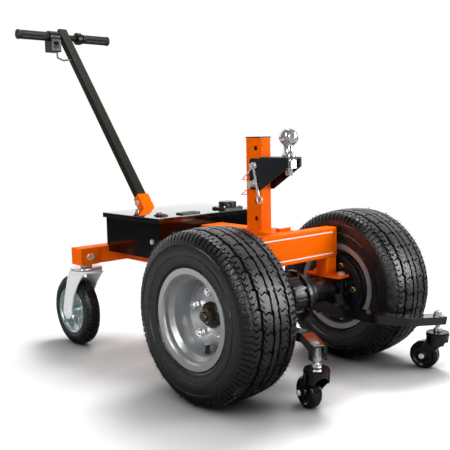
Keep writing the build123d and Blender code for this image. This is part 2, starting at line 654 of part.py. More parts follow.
def arm(bends, swivel, drop, cheeks):
    """Pressed channel that runs under the axle, bends outward and carries a caster."""
    route, (ux, uy), tip_z, slope = arm_route(bends, swivel, drop)
    path = FilletPolyline(*route, radius=ARM_BEND_R)
    start = Plane(origin=route[0], x_dir=(1, 0, 0), z_dir=(0, -1, 0))
    body = sweep(start * channel_section(ARM_WIDTH, ARM_HEIGHT, ARM_SHEET), path=path)
    body -= rod_z(CASTER_STUD_R + FIT, swivel[0], swivel[1], (tip_z - 30, tip_z + 30))
    if cheeks:
        turn = degrees(atan2(uy, ux)) + 90
        deep = block((ARM_WIDTH / 2 - 0.5, ARM_WIDTH / 2 + 2.5), (-ARM_TIP_REACH, CHEEK_REACH),
                     (-CHEEK_DEPTH + ARM_HEIGHT / 2, ARM_HEIGHT / 2))
        pair = deep + mirror(deep, about=Plane.YZ)
        body += Pos(swivel[0], swivel[1], tip_z) * Rot(0, 0, turn) * pair
    return body


def arms():
    """Both arms, each with the saddle block that grips the axle tube above it."""
    inner, outer = ARM_X - ARM_WIDTH / 2, FOOT_OUTER
    holes = [rod_z(CLAMP_BOLT_D / 2 + FIT, CLAMP_BOLT_X, y, (ARM_BOTTOM - 5, CLAMP_TOP + 9))
             for y in (-CLAMP_BOLT_Y, CLAMP_BOLT_Y)]
    clamp = block((inner, outer), (-CLAMP_HALF_Y, CLAMP_HALF_Y), (ARM_BOTTOM + ARM_HEIGHT, CLAMP_TOP))
    clamp += block((ARM_X + ARM_WIDTH / 2, outer), (-CLAMP_HALF_Y, CLAMP_HALF_Y),
                   (ARM_BOTTOM, CLAMP_TOP))
    clamp -= rod_x(TUBE_R + FIT, (0, 300), 0, AXLE_Z)
    clamp -= holes
    PARTS["right_arm"] = Compound(children=[
        arm(RIGHT_ARM_BENDS, RIGHT_SWIVEL, RIGHT_ARM_DROP, False), clamp])
    PARTS["left_arm"] = Compound(children=[
        arm(LEFT_ARM_BENDS, LEFT_SWIVEL, LEFT_ARM_DROP, True), mirror(clamp, about=Plane.YZ)])


# Casters

def small_fork(swivel, yaw):
    """Pressed black fork: arched cup under the raceway and two cheeks down to the axle."""
    half = SMALL_WHEEL_W / 2 + 2.5
    outer = half + SMALL_FORK_T
    top = SMALL_DISC_TOP - 6.0
    disc = Pos(0, 0, top) * Cylinder(SMALL_DISC_R, 5, align=(Align.CENTER, Align.CENTER, Align.MAX))
    disc = fillet(disc.edges().sort_by(Axis.Z)[0], 1.8)
    low = top - SMALL_CUP_DEPTH
    cup = rod_z(SMALL_CUP_R, 0, 0, (low, top - 4)) - rod_z(SMALL_CUP_R - SMALL_FORK_T, 0, 0, (0, top - 4))
    cup -= [rod_y(half, 0, (-40, 40), SMALL_ARCH_Z),
            block((-half, half), (-40, 40), (low - 9, SMALL_ARCH_Z))]
    ty, tz, r = SMALL_TRAIL, SMALL_WHEEL_R, 12.0
    outline = [
        Line((0, -23, top - 4), (0, 23, top - 4)),
        Line((0, 23, top - 4), (0, 27, low + 4)),
        ThreePointArc((0, 27, low + 4), (0, ty + 5, low - 9), (0, ty + r, tz + 2)),
        ThreePointArc((0, ty + r, tz + 2), (0, ty, tz - r), (0, ty - r, tz - 4)),
        ThreePointArc((0, ty - r, tz - 4), (0, 2, low - 16), (0, -23, low + 4)),
        Line((0, -23, low + 4), (0, -23, top - 4)),
    ]
    cheek = Pos(half, 0, 0) * extrude(make_face(Wire(outline)), SMALL_FORK_T, dir=(1, 0, 0))
    axle = rod_x(4, (-outer - 1, outer + 1), SMALL_TRAIL, SMALL_WHEEL_R)
    heads = [Pos(s * outer, SMALL_TRAIL, SMALL_WHEEL_R) * Rot(0, s * 90, 0) * hexagon(12, 5)
             for s in (-1, 1)]
    body = disc + cup + cheek + mirror(cheek, about=Plane.YZ) + axle + heads
    body -= rod_z(CASTER_STUD_R + RUNNING, 0, 0, (top - 9, top + 9))
    return Pos(swivel[0], swivel[1], 0) * Rot(0, 0, yaw) * body


def small_wheel(swivel, yaw):
    half = SMALL_WHEEL_W / 2
    bore = 4 + RUNNING
    wheel = spun([(-half, bore), (-half, 14), (-half + 3, 17), (-half + 3, 25), (-half, 28),
                  (-half, SMALL_WHEEL_R - 5), (-half + 5, SMALL_WHEEL_R), (half - 5, SMALL_WHEEL_R),
                  (half, SMALL_WHEEL_R - 5), (half, 28), (half - 3, 25), (half - 3, 17),
                  (half, 14), (half, bore)])
    wheel = Pos(0, SMALL_TRAIL, SMALL_WHEEL_R) * wheel
    return Pos(swivel[0], swivel[1], 0) * Rot(0, 0, yaw) * wheel


def rear_fork():
    """Zinc fork, drawn for the right side."""
    half = REAR_HUB_W / 2 + RUNNING
    outer = half + REAR_FORK_T
    top = REAR_DISC_TOP - REAR_DISC_T - RUNNING
    crown = Pos(0, 0, top) * Cylinder(REAR_DISC_R, 7, align=(Align.CENTER, Align.CENTER, Align.MAX))
    crown = fillet(crown.edges().sort_by(Axis.Z)[0], 3)
    r = REAR_AXLE_LOBE
    ty, tz = REAR_TRAIL, REAR_WHEEL_R
    low = top - 5
    outline = [
        Line((0, -42, low), (0, 43, low)),
        ThreePointArc((0, 43, low), (0, 68, tz + 62), (0, ty + r, tz + 2)),
        ThreePointArc((0, ty + r, tz + 2), (0, ty, tz - r), (0, ty - r, tz + 2)),
        ThreePointArc((0, ty - r, tz + 2), (0, 15, tz + 62), (0, -42, low)),
    ]
    cheek = Pos(half, 0, 0) * extrude(make_face(Wire(outline)), REAR_FORK_T, dir=(1, 0, 0))
    axle = rod_x(5, (-outer - 1, outer + 1), ty, tz)
    heads = [Pos(s * outer, ty, tz) * Rot(0, s * 90, 0) * hexagon(17, 7) for s in (-1, 1)]
    body = crown + cheek + mirror(cheek, about=Plane.YZ) + axle + heads
    body -= rod_z(8 + RUNNING, 0, 0, (top - 12, top + 9))
    return Pos(REAR_SWIVEL[0], REAR_SWIVEL[1], 0) * body


def rear_tyre():
    half = REAR_WHEEL_W / 2
    seat = REAR_RIM_R + REAR_RIM_SHEET / 2 + FIT
    lip = REAR_RIM_R + REAR_LIP + 1.5
    bead = REAR_LIP_X - REAR_RIM_SHEET - FIT
    r = REAR_WHEEL_R
    outline = [
        Line((-bead + 3, seat), (bead - 3, seat)),
        Line((bead - 3, seat), (bead, seat + 4)),
        Line((bead, seat + 4), (bead, lip)),
        ThreePointArc((bead, lip), (half, lip + 13), (16, r - 4)),
        ThreePointArc((16, r - 4), (0, r), (-16, r - 4)),
        ThreePointArc((-16, r - 4), (-half, lip + 13), (-bead, lip)),
        Line((-bead, lip), (-bead, seat + 4)),
        Line((-bead, seat + 4), (-bead + 3, seat)),
    ]
    body = revolve(make_face(Wire(outline)), Axis.X)
    body -= [spun([(x - 1.8, r - 4.5), (x + 1.8, r - 4.5), (x + 1.8, r + 1), (x - 1.8, r + 1)])
             for x in (-7.5, 7.5)]
    return body


def rear_rim():
    lip = REAR_RIM_R + REAR_LIP
    profile = [(REAR_LIP_X, lip), (REAR_LIP_X, REAR_RIM_R + 3), (REAR_LIP_X - 2.5, REAR_RIM_R),
               (12, REAR_RIM_R - 1), (5, REAR_RIM_R - 14)]
    profile += [(-x, rr) for x, rr in reversed(profile)]
    barrel = revolve(trace(Polyline(*profile), REAR_RIM_SHEET), Axis.X)
    disc = spun([(-3, 10), (-3, REAR_RIM_R - 13), (3, REAR_RIM_R - 13), (3, 10)])
    hub_half = REAR_HUB_W / 2
    hub_tube = spun([(-hub_half, 5 + RUNNING), (-hub_half, 15), (hub_half, 15),
                     (hub_half, 5 + RUNNING)])
    holes = [around(rod_x(6, (-9, 9), 0, 33), i, 6) for i in range(6)]
    return barrel + disc - holes + hub_tube


def casters():
    both("rear_fork", rear_fork())
    place = Pos(REAR_SWIVEL[0], REAR_SWIVEL[1] + REAR_TRAIL, REAR_WHEEL_R)
    both("rear_tyre", place * rear_tyre())
    both("rear_rim", place * rear_rim())
    stems = []
    for s in (-1, 1):
        x, y = s * REAR_SWIVEL[0], REAR_SWIVEL[1]
        stem = rod_z(REAR_DISC_R, x, y, (REAR_DISC_TOP - REAR_DISC_T, REAR_DISC_TOP))
        stem = fillet(stem.edges().sort_by(Axis.Z)[-1], 2)
        stem += Pos(x, y, REAR_DISC_TOP - 1) * hexagon(34, REAR_BEAM_BOTTOM - REAR_DISC_TOP + 1)
        stem += rod_z(STEM_R, x, y, (REAR_DISC_TOP, REAR_BEAM_TOP - 10))
        foot = REAR_DISC_TOP - REAR_DISC_T - RUNNING - 7 - RUNNING
        stem += rod_z(8, x, y, (foot - 1, REAR_DISC_TOP))
        stem += rod_z(15, x, y, (foot - 6, foot))
        stems.append(stem)
    for bends, swivel, drop, nut_h in ((RIGHT_ARM_BENDS, RIGHT_SWIVEL, RIGHT_ARM_DROP, 9.0),
                                       (LEFT_ARM_BENDS, LEFT_SWIVEL, LEFT_ARM_DROP, LONG_NUT)):
        x, y = swivel
        top = SMALL_DISC_TOP
        _, _, middle, slope = arm_route(bends, swivel, drop)
        web = middle + ARM_HEIGHT / 2
        gap = 12 * slope + 2 * FIT
        stem = rod_z(SMALL_DISC_R - 2, x, y, (top - 5.5, top - 1))
        stem += Pos(x, y, top - 2) * hexagon(19, 12)
        stem += Pos(x, y, web - ARM_SHEET - gap - nut_h) * hexagon(19, nut_h)
        if nut_h == LONG_NUT:
            stem += rod_z(CASTER_STUD_R, x, y, (top - 14, web + 1))
        else:
            stem += rod_z(CASTER_STUD_R, x, y, (top - 14, web + gap + 12))
            stem += Pos(x, y, web + gap) * hexagon(19, 8)
        stem += rod_z(10, x, y, (top - 15, top - 11.5))
        stems.append(stem)
    PARTS["caster_stems"] = Compound(children=stems)
    PARTS["right_front_fork"] = small_fork(RIGHT_SWIVEL, RIGHT_YAW)
    PARTS["left_front_fork"] = small_fork(LEFT_SWIVEL, LEFT_YAW)
    PARTS["right_front_wheel"] = small_wheel(RIGHT_SWIVEL, RIGHT_YAW)
    PARTS["left_front_wheel"] = small_wheel(LEFT_SWIVEL, LEFT_YAW)


# Coupling head

def coupling():
    half = MOUNT_HALF_X
    gap = TOWER_WIDTH / 2 + FIT
    heel = TOWER_FRONT - 5
    cheek_top = MOUNT_UNDER + 1
    cheek = side_plate([(MOUNT_REAR, cheek_top), (MOUNT_FRONT, cheek_top),
                        (MOUNT_FRONT, MOUNT_NOSE_LOW), (heel, MOUNT_HEEL_Z),
                        (MOUNT_REAR, MOUNT_HEEL_Z)], (gap, half))
    rear_edges = cheek.edges().filter_by(Axis.X).group_by(Axis.Y)[-1]
    cheek = fillet(rear_edges, 8)
    top = block((-half, half), (MOUNT_FRONT, TOWER_FRONT - FIT), (MOUNT_UNDER, MOUNT_TOP))
    top = fillet(top.edges().filter_by(Axis.Y).group_by(Axis.Z)[-1], 4)
    body = top + cheek + mirror(cheek, about=Plane.YZ)
    body -= [rod_x(PIN_HOLE_D / 2, (-half - 2, half + 2), PIN_Y, z) for z in PINS_Z[1:3]]
    body -= rod_z(SHANK_R + FIT, 0, BALL_Y, (MOUNT_UNDER - 5, MOUNT_TOP + 5))
    PARTS["ball_mount"] = body

    ball_r = BALL_D / 2
    flange_top = MOUNT_TOP + BALL_FLANGE_H
    neck_top = BALL_Z - sqrt(ball_r ** 2 - BALL_NECK_R ** 2)
    ball = Pos(0, BALL_Y, BALL_Z) * Sphere(ball_r)
    ball -= block((-40, 40), (BALL_Y - 40, BALL_Y + 40), (BALL_Z + ball_r - 1.2, BALL_Z + 40))
    ball += rod_z(BALL_NECK_R, 0, BALL_Y, (flange_top - 1, neck_top + 1))
    ball += rod_z(BALL_FLANGE_R, 0, BALL_Y, (MOUNT_TOP, flange_top))
    ball += rod_z(SHANK_R, 0, BALL_Y, (MOUNT_UNDER - 4 - 20 - 18, MOUNT_TOP + 1))
    PARTS["hitch_ball"] = ball

    for name, z, head_gap in (("upper", PINS_Z[1], STRAP_T + 2 * FIT), ("lower", PINS_Z[2], 10.0)):
        head_x = -half - BAIL_WIRE - 3 * FIT - head_gap
        pin = rod_x(PIN_D / 2, (head_x - 1, half + BAIL_WIRE + 8), PIN_Y, z)
        pin += rod_x(PIN_HEAD_R, (head_x - 6, head_x), PIN_Y, z)
        tip = pin.edges().filter_by(GeomType.CIRCLE).sort_by(Axis.X)[-1]
        PARTS[name + "_pin"] = chamfer(tip, 1.5)
    PARTS["upper_bail"] = bail(PINS_Z[1], UPPER_BAIL_DROP)
    PARTS["lower_bail"] = bail(PINS_Z[2], LOWER_BAIL_DROP)

    strap_x = -half - BAIL_WIRE - 3 * FIT - STRAP_T
    eye = PIN_D / 2 + FREE / 2
    flat = extrude(Circle(eye + 3.5) + Pos(0, -STRAP_LENGTH) * Circle(11.5)
                   + Pos(0, -STRAP_LENGTH / 2) * Rectangle(7, STRAP_LENGTH), STRAP_T)
    flat -= Pos(0, 0, -1) * extrude(Circle(eye), STRAP_T + 2)
    flat -= Pos(0, -STRAP_LENGTH, -1) * extrude(Circle(6.5), STRAP_T + 2)
    plane = Plane(origin=(strap_x, PIN_Y, PINS_Z[1]), x_dir=(0, 1, 0), z_dir=(1, 0, 0))
    PARTS["link_strap"] = plane * (Rot(0, 0, -STRAP_LEAN) * flat)


def bail(z, drop):
    """Wire loop with an eye round the pin on each side and a bar behind the tower."""
    wire = BAIL_WIRE / 2
    x = MOUNT_HALF_X + FIT + wire
    eye_r = PIN_D / 2 + FREE / 2 + wire
    corner = 6.0
    path = FilletPolyline((-x, -eye_r, 0), (-x, -BAIL_LENGTH, 0), (x, -BAIL_LENGTH, 0),
                          (x, -eye_r, 0), radius=corner)
    section = Plane(origin=(-x, -eye_r, 0), z_dir=(0, -1, 0)) * Circle(wire)
    loop = sweep(section, path=path)
    eye = Rot(0, 90, 0) * Torus(eye_r, wire)
    body = loop + Pos(-x, 0, 0) * eye + Pos(x, 0, 0) * eye
    body = Rot(180 - drop, 0, 0) * body
    return Pos(0, PIN_Y, z) * body


# Battery box

def battery_box():
    x = (-BOX_HALF_X, BOX_HALF_X)
    y = (BOX_FRONT, BOX_REAR)
    s = BOX_SHEET
    outer = block(x, y, (BOX_BOTTOM, BOX_TOP))
    notch_y = REAR_BEAM_FRONT - FIT
    notch_z = REAR_BEAM_TOP + FIT
    inner = block((x[0] + s, x[1] - s), (y[0] + s, y[1] - s), (BOX_BOTTOM + s, BOX_TOP + 5))
    inner -= block((x[0] - 5, x[1] + 5), (notch_y - s, BOX_REAR + 5), (BOX_BOTTOM - 5, notch_z + s))
    body = outer - inner
    body -= block((x[0] - 5, x[1] + 5), (notch_y, BOX_REAR + 5), (BOX_BOTTOM - 5, notch_z))
    PARTS["battery_box"] = body

    lap = LID_OVERHANG
    lid_x = (x[0] - lap, x[1] + lap)
    lid_y = (y[0] - lap, y[1] + lap)
    lid = block(lid_x, lid_y, (LID_TOP - LID_SKIRT, LID_TOP))
    lid = fillet(lid.edges().filter_by(Axis.Z), 4)
    lid = fillet(lid.edges().group_by(Axis.Z)[-1], 1.5)
    t = LID_SHEET
    lid -= block((lid_x[0] + t, lid_x[1] - t), (lid_y[0] + t, lid_y[1] - t),
                 (LID_TOP - LID_SKIRT - 5, LID_TOP - t))
    lid -= rod_z(KNOB_SHAFT_R + RUNNING, *ISOLATOR_SPOT, (LID_TOP - 9, LID_TOP + 9))
    PARTS["box_lid"] = lid

    floor = BOX_BOTTOM + s
    bx, by, bz = BATTERY_SIZE
    front = BOX_FRONT + s + 90
    cells = []
    for sx in (-1, 1):
        cx = sx * (bx / 2 + 6)
        cell = block((cx - bx / 2, cx + bx / 2), (front, front + by), (floor, floor + bz))
        cell = fillet(cell.edges().filter_by(Axis.Z), 3)
        posts = [rod_z(6, cx + px, front + 16, (floor + bz - 1, floor + bz + 6)) for px in (-58, 58)]
        cells.append(cell + posts)
    PARTS["batteries"] = Compound(children=cells)
    base = block((-70, 70), (BOX_FRONT + s + 14, BOX_FRONT + s + 76), (floor, floor + 8))
    fins = [block((-66 + 12 * i, -62 + 12 * i), (BOX_FRONT + s + 16, BOX_FRONT + s + 74),
                  (floor + 7, floor + 34)) for i in range(12)]
    PARTS["motor_controller"] = base + fins


def lid_fittings():
    z = LID_TOP
    x, y = ROCKER_SPOT
    bezel = block((x - 13, x + 13), (y - 17, y + 17), (z, z + 4))
    bezel = fillet(bezel.edges().group_by(Axis.Z)[-1], 1.5)
    bezel -= block((x - 9.5, x + 9.5), (y - 13, y + 13), (z + 1, z + 9))
    PARTS["switch_bezel"] = bezel
    rocker = side_plate([(-12, 0), (12, 0), (12, 5), (0, 2.4), (-12, 5)], (-8.8, 8.8))
    rocker -= rod_x(PIVOT_SEAT_R, (-9, 9), 0, 0)
    PARTS["power_rocker"] = Pos(x, y, z + ROCKER_PIVOT_Z) * Rot(ROCKER_TILT, 0, 0) * rocker

    gx, gy, gz = GAUGE_SIZE
    x, y = GAUGE_SPOT
    gauge = block((x - gx / 2, x + gx / 2), (y - gy / 2, y + gy / 2), (z, z + gz))
    gauge = fillet(gauge.edges().filter_by(Axis.Z), 4)
    gauge = chamfer(gauge.edges().group_by(Axis.Z)[-1], 1.5)
    gauge -= block((x - gx / 2 + 12, x + gx / 2 - 12), (y - 8, y + 8), (z + gz - 1, z + gz + 2))
    PARTS["battery_gauge"] = gauge

    bx, by, bz = ISOLATOR_BASE
    x, y = ISOLATOR_SPOT
    base = block((x - bx / 2, x + bx / 2), (y - by / 2, y + by / 2), (z, z + bz))
    base = fillet(base.edges().filter_by(Axis.Z), 5)
    base = chamfer(base.edges().group_by(Axis.Z)[-1], 1.2)
    screws = [rod_z(3.4, x + sx * (bx / 2 - 8), y + sy * (by / 2 - 8), (z + bz - 1, z + bz + 2))
              for sx in (-1, 1) for sy in (-1, 1)]
    base = base + screws
    base -= rod_z(KNOB_SHAFT_R + RUNNING, x, y, (z - 5, z + bz + 5))
    PARTS["isolator_base"] = base
    low = z + bz + RUNNING
    r = ISOLATOR_KNOB_R
    knob = Pos(x, y, low) * Cylinder(r, ISOLATOR_KNOB_H, align=(Align.CENTER, Align.CENTER, Align.MIN))
    knob -= [Pos(x, y, low + 4) * Rot(0, 0, 60 * i) * Pos(r + 6, 0, 0)
             * Cylinder(9, 30, align=(Align.CENTER, Align.CENTER, Align.MIN)) for i in range(6)]
    knob = fillet(knob.edges().group_by(Axis.Z)[-1], 2)
    knob += rod_z(KNOB_SHAFT_R, x, y, (z - 14, low + 1))
    PARTS["isolator_knob"] = knob


# Tiller

def tiller():
    half_w, half_d = POLE_WIDTH / 2, POLE_DEPTH / 2
    turn = Pos(0, PIVOT_Y, PIVOT_Z) * Rot(-LEAN, 0, 0)
    pole = block((-half_w, half_w), (-half_d, half_d), (0, POLE_REACH))
    pole += rod_x(half_d, (-half_w, half_w), 0, 0)
    pole = fillet(pole.edges().filter_by(Axis.Z), 3)
    s = POLE_SHEET
    pole -= block((-half_w + s, half_w - s), (-half_d + s, half_d - s), (10, POLE_REACH - 3))
    pole -= rod_x(PIVOT_BOLT_R + FIT, (-half_w - 2, half_w + 2), 0, 0)
    pole -= rod_x(BAR_R + FIT / 2, (-half_w - 2, half_w + 2), 0, BAR_REACH)
    PARTS["pole"] = turn * pole

    y, z = arm_point(BAR_REACH, 0)
    bar = rod_x(BAR_R, (LEFT_GRIP[0] + 3, RIGHT_GRIP[1] - 3), y, z)
    bar -= rod_x(BAR_R - 2.5, (LEFT_GRIP[0], RIGHT_GRIP[1]), y, z)
    PARTS["handlebar"] = bar
    PARTS["left_grip"] = grip(LEFT_GRIP, y, z, -1, 0.0)
    PARTS["throttle_grip"] = grip(RIGHT_GRIP, y, z, 1, RUNNING)

    x0, x1 = THROTTLE_RING
    ring = rod_x(THROTTLE_RING_R, (x0, x1), y, z)
    ring = fillet(ring.edges().filter_by(GeomType.CIRCLE), 3)
    PARTS["throttle_housing"] = ring - rod_x(BAR_R + 0.05, (x0 - 1, x1 + 1), y, z)

    x0, x1 = SWITCH_X
    clamp = rod_x(20, (x0, x1), y, z)
    box = block((x0, x1), (y - 26, y + 24), (z - 54, z - 8))
    box = fillet(box.edges().filter_by(Axis.X), 4)
    housing = clamp + box - rod_x(BAR_R + 0.05, (x0 - 1, x1 + 1), y, z)
    slot_y, slot_z = y - 26, z - 30
    mid = (x0 + x1) / 2
    housing -= block((mid - 8, mid + 8), (slot_y - 1, slot_y + 5), (slot_z - 11, slot_z + 11))
    PARTS["switch_housing"] = housing
    toggle = side_plate([(0.5, -10), (0.5, 10), (-5.5, 10), (-2.3, 0), (-5.5, -10)], (-7.3, 7.3))
    toggle -= rod_x(PIVOT_SEAT_R, (-8, 8), 0, 0)
    turned = Rot(TOGGLE_TILT, 0, 0) * toggle
    PARTS["direction_switch"] = Pos(mid, slot_y + TOGGLE_PIVOT, slot_z) * turned

    exit_z = z - 54
    entry_y, entry_z = arm_point(BAR_REACH - CABLE_ENTRY, 0)
    route = [(x1 - 11, y - 14, exit_z), (x1 - 11, y - 14, exit_z - 20),
             (x1 - 2, (y - 14 + entry_y) / 2, (exit_z - 20 + entry_z) / 2 - 6),
             (-half_w - 14, entry_y, entry_z), (-half_w, entry_y, entry_z)]
    path = FilletPolyline(*route, radius=7)
    tube = sweep(Plane(path @ 0, z_dir=path % 0) * Circle(CABLE_R), path=path)
    PARTS["handle_cable"] = tube


def grip(span, y, z, outward, clearance):
    """Ribbed rubber grip closed at its outer end."""
    x0, x1 = span
    body = rod_x(GRIP_R, (x0, x1), y, z)
    length = x1 - x0
    ribs = 9
    for i in range(ribs):
        x = x0 + length * (i + 1) / (ribs + 1)
        cut = rod_x(GRIP_R + 1, (x - 2, x + 2), y, z) - rod_x(GRIP_R - 1.6, (x - 3, x + 3), y, z)
        body -= cut
    inner = (x0 - 1, x1 - 2.9 + clearance) if outward > 0 else (x0 + 2.9, x1 + 1)
    return body - rod_x(BAR_R + 0.05 + clearance, inner, y, z)


main_wheels()
transaxle()
frame()
tiller_bracket()
fasteners()
arms()
casters()
coupling()
battery_box()
lid_fittings()
tiller()

boxes = [shape.bounding_box() for shape in PARTS.values()]
front_end = min(b.min.Y for b in boxes)
rear_end = max(b.max.Y for b in boxes)
shift = Pos(0, -(front_end + rear_end) / 2, 0)
print("length", rear_end - front_end, "axle y", -(front_end + rear_end) / 2)
for name, shape in PARTS.items():
    export_step(shift * shape, "parts/" + name + ".step")
print(len(PARTS), "nodes")
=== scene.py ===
import math
from functools import partial

import bmesh
import bpy
import numpy as np
from mathutils import Matrix, Vector


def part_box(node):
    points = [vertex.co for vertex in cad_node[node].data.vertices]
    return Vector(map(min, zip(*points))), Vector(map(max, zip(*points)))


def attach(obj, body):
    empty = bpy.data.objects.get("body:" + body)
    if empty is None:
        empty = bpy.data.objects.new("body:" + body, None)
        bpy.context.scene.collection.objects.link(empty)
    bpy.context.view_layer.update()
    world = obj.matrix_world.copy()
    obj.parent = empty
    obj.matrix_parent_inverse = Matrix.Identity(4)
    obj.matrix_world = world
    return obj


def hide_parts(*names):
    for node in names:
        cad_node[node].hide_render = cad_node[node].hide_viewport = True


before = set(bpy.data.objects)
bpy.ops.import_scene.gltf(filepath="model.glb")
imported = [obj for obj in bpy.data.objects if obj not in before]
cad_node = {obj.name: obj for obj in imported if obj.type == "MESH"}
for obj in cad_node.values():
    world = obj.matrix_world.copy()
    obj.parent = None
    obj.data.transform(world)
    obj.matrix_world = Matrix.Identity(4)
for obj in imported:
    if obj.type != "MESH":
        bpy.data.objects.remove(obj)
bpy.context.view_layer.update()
MM = 0.001


# Viewpoint and studio.
# The camera stands ahead of the dolly on its left, as high as the tower, with a short
# telephoto lens. A white sweep lies under the wheels, lit by large soft boxes.
tyre_low, tyre_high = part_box("left_tyre")
AXLE = np.array([0.0, (tyre_low.y + tyre_high.y) / 2, (tyre_low.z + tyre_high.z) / 2])
LENS_PLACE = np.array([-1.35748, AXLE[1] - 1.27065, 0.63037])
LENS_YAW, LENS_PITCH, LENS_ROLL = (math.radians(a) for a in (41.78, 7.061, -1.0853))
LENS_LENGTH, FILM_WIDTH = 57.77, 36.0

look = np.array([math.sin(LENS_YAW) * math.cos(LENS_PITCH),
                 math.cos(LENS_YAW) * math.cos(LENS_PITCH), -math.sin(LENS_PITCH)])
level = np.array([math.cos(LENS_YAW), -math.sin(LENS_YAW), 0.0])
up = np.cross(level, look)
side = math.cos(LENS_ROLL) * level + math.sin(LENS_ROLL) * up
rise = math.cos(LENS_ROLL) * up - math.sin(LENS_ROLL) * level
camera_data = bpy.data.cameras.new("photo_camera")
camera_data.sensor_width, camera_data.lens = FILM_WIDTH, LENS_LENGTH
camera = bpy.data.objects.new("photo_camera", camera_data)
pose = np.eye(4)
pose[:3, 0], pose[:3, 1], pose[:3, 2], pose[:3, 3] = side, rise, -look, LENS_PLACE
camera.matrix_world = Matrix(pose.tolist())
bpy.context.scene.collection.objects.link(camera)
bpy.context.scene.camera = camera
bpy.context.scene.view_settings.view_transform = "Standard"


def link_nodes(tree, *pairs):
    """Joins each pair of an output socket and an input socket."""
    for source, target in pairs:
        tree.links.new(source, target)


def math_step(tree, operation, second=None, kind="ShaderNodeMath"):
    """Math node, or vector math node, with its operation and a fixed second value if it has one."""
    node = tree.nodes.new(kind)
    node.operation = operation
    if second is not None:
        node.inputs[1].default_value = second
    return node


def studio_world(daylight, room, backdrop_side):
    """Even light on the object, pure white for the lens, and for gloss a dim room whose far side,
    where the dot product of the ray and backdrop_side passes 0.25 to 0.6, is the white backdrop."""
    world = bpy.data.worlds.new("studio")
    world.use_nodes = True
    tree = world.node_tree
    tree.nodes.clear()
    rays, way = tree.nodes.new("ShaderNodeLightPath"), tree.nodes.new("ShaderNodeTexCoord")
    facing = math_step(tree, "DOT_PRODUCT", backdrop_side, "ShaderNodeVectorMath")
    shown = tree.nodes.new("ShaderNodeMapRange")
    for label, value in (("From Min", 0.25), ("From Max", 0.6), ("To Min", room), ("To Max", 1.0)):
        shown.inputs[label].default_value = value
    gloss, lens = tree.nodes.new("ShaderNodeMix"), tree.nodes.new("ShaderNodeMix")
    gloss.inputs["A"].default_value, lens.inputs["B"].default_value = daylight, 1.0
    light = tree.nodes.new("ShaderNodeBackground")
    light.inputs["Color"].default_value = (1, 1, 1, 1)
    out = tree.nodes.new("ShaderNodeOutputWorld")
    link_nodes(tree, (way.outputs["Generated"], facing.inputs[0]),
               (facing.outputs["Value"], shown.inputs["Value"]),
               (rays.outputs["Is Glossy Ray"], gloss.inputs["Factor"]),
               (shown.outputs["Result"], gloss.inputs["B"]),
               (rays.outputs["Is Camera Ray"], lens.inputs["Factor"]),
               (gloss.outputs["Result"], lens.inputs["A"]),
               (lens.outputs["Result"], light.inputs["Strength"]),
               (light.outputs[0], out.inputs[0]))
    bpy.context.scene.world = world


def soft_box(name, place, aim, width, height, power, card=False, mirrored=True):
    """Rectangular lamp at a place, turned to face a point. A card shows only in reflections, and
    its power is its radiance; any other lamp may be kept out of them."""
    lamp = bpy.data.lights.new(name, "AREA")
    lamp.shape = "RECTANGLE"
    lamp.size, lamp.size_y = width, height
    lamp.energy = power * math.pi * width * height if card else power
    holder = bpy.data.objects.new(name, lamp)
    bpy.context.scene.collection.objects.link(holder)
    holder.location = place
    holder.rotation_mode = "QUATERNION"
    holder.rotation_quaternion = (Vector(aim) - Vector(place)).to_track_quat("-Z", "Y")
    holder.visible_camera = False
    holder.visible_diffuse, holder.visible_glossy = not card, mirrored


studio_world(0.20, 0.07, (0.64, 0.72, 0.27))
soft_box("front_box", (1.9, -2.8, 1.5), (0, -0.3, 0.25), 2.0, 1.2, 92, mirrored=False)
soft_box("top_box", (1.5, 0.5, 2.9), (0, -0.1, 0.1), 2.0, 1.3, 140, mirrored=False)
soft_box("left_box", (-2.9, -1.0, 2.0), (0, -0.1, 0.3), 0.8, 1.6, 54, mirrored=False)
soft_box("left_card", (-2.7, -0.9, 1.7), (0, -0.1, 0.3), 0.4, 1.7, 12.0, card=True)
soft_box("top_card", (0.1, 0.2, 3.0), (0, 0, 0), 0.5, 1.6, 12.0, card=True)
soft_box("front_card", (1.8, -2.6, 1.45), (0, -0.3, 0.25), 0.42, 1.9, 13.0, card=True)
soft_box("strip_card", (-1.7, -2.5, 0.9), (0, -0.4, 0.2), 0.3, 1.4, 12.0, card=True)
soft_box("tread_card", (1.4, -2.2, 0.75), (0, -0.4, 0.2), 1.5, 0.9, 3.3, card=True)
soft_box("low_card", (-0.92, 0.24, 0.10), (-0.34, -0.42, 0.2), 0.8, 0.19, 0.55, card=True)


def shell_mesh(points, faces, merge=0.0):
    """Mesh of these points and faces, whose points closer than merge become one where it is
    above zero, and whose faces are turned outwards."""
    mesh = bpy.data.meshes.new("shell")
    mesh.from_pydata(points.reshape(-1, 3).tolist(), [], faces.tolist())
    shell = bmesh.new()
    shell.from_mesh(mesh)
    if merge:
        bmesh.ops.remove_doubles(shell, verts=shell.verts, dist=merge)
    bmesh.ops.recalc_face_normals(shell, faces=shell.faces)
    shell.to_mesh(mesh)
    shell.free()
    return mesh


def grid_mesh(points, wrap_rows, wrap_columns):
    """Quads between neighbouring points of a rows x columns grid, or of several alike. Wrapping
    joins the last row or column to the first, and double points merge."""
    points = points.reshape(-1, *points.shape[-3:])
    index = np.arange(points[..., 0].size).reshape(points.shape[:3])
    if wrap_rows:
        index = np.concatenate([index, index[:, :1]], axis=1)
    if wrap_columns:
        index = np.concatenate([index, index[:, :, :1]], axis=2)
    quads = np.stack([index[:, :-1, :-1], index[:, :-1, 1:], index[:, 1:, 1:],
                      index[:, 1:, :-1]], axis=-1)
    return shell_mesh(points, quads.reshape(-1, 4), 1e-6)


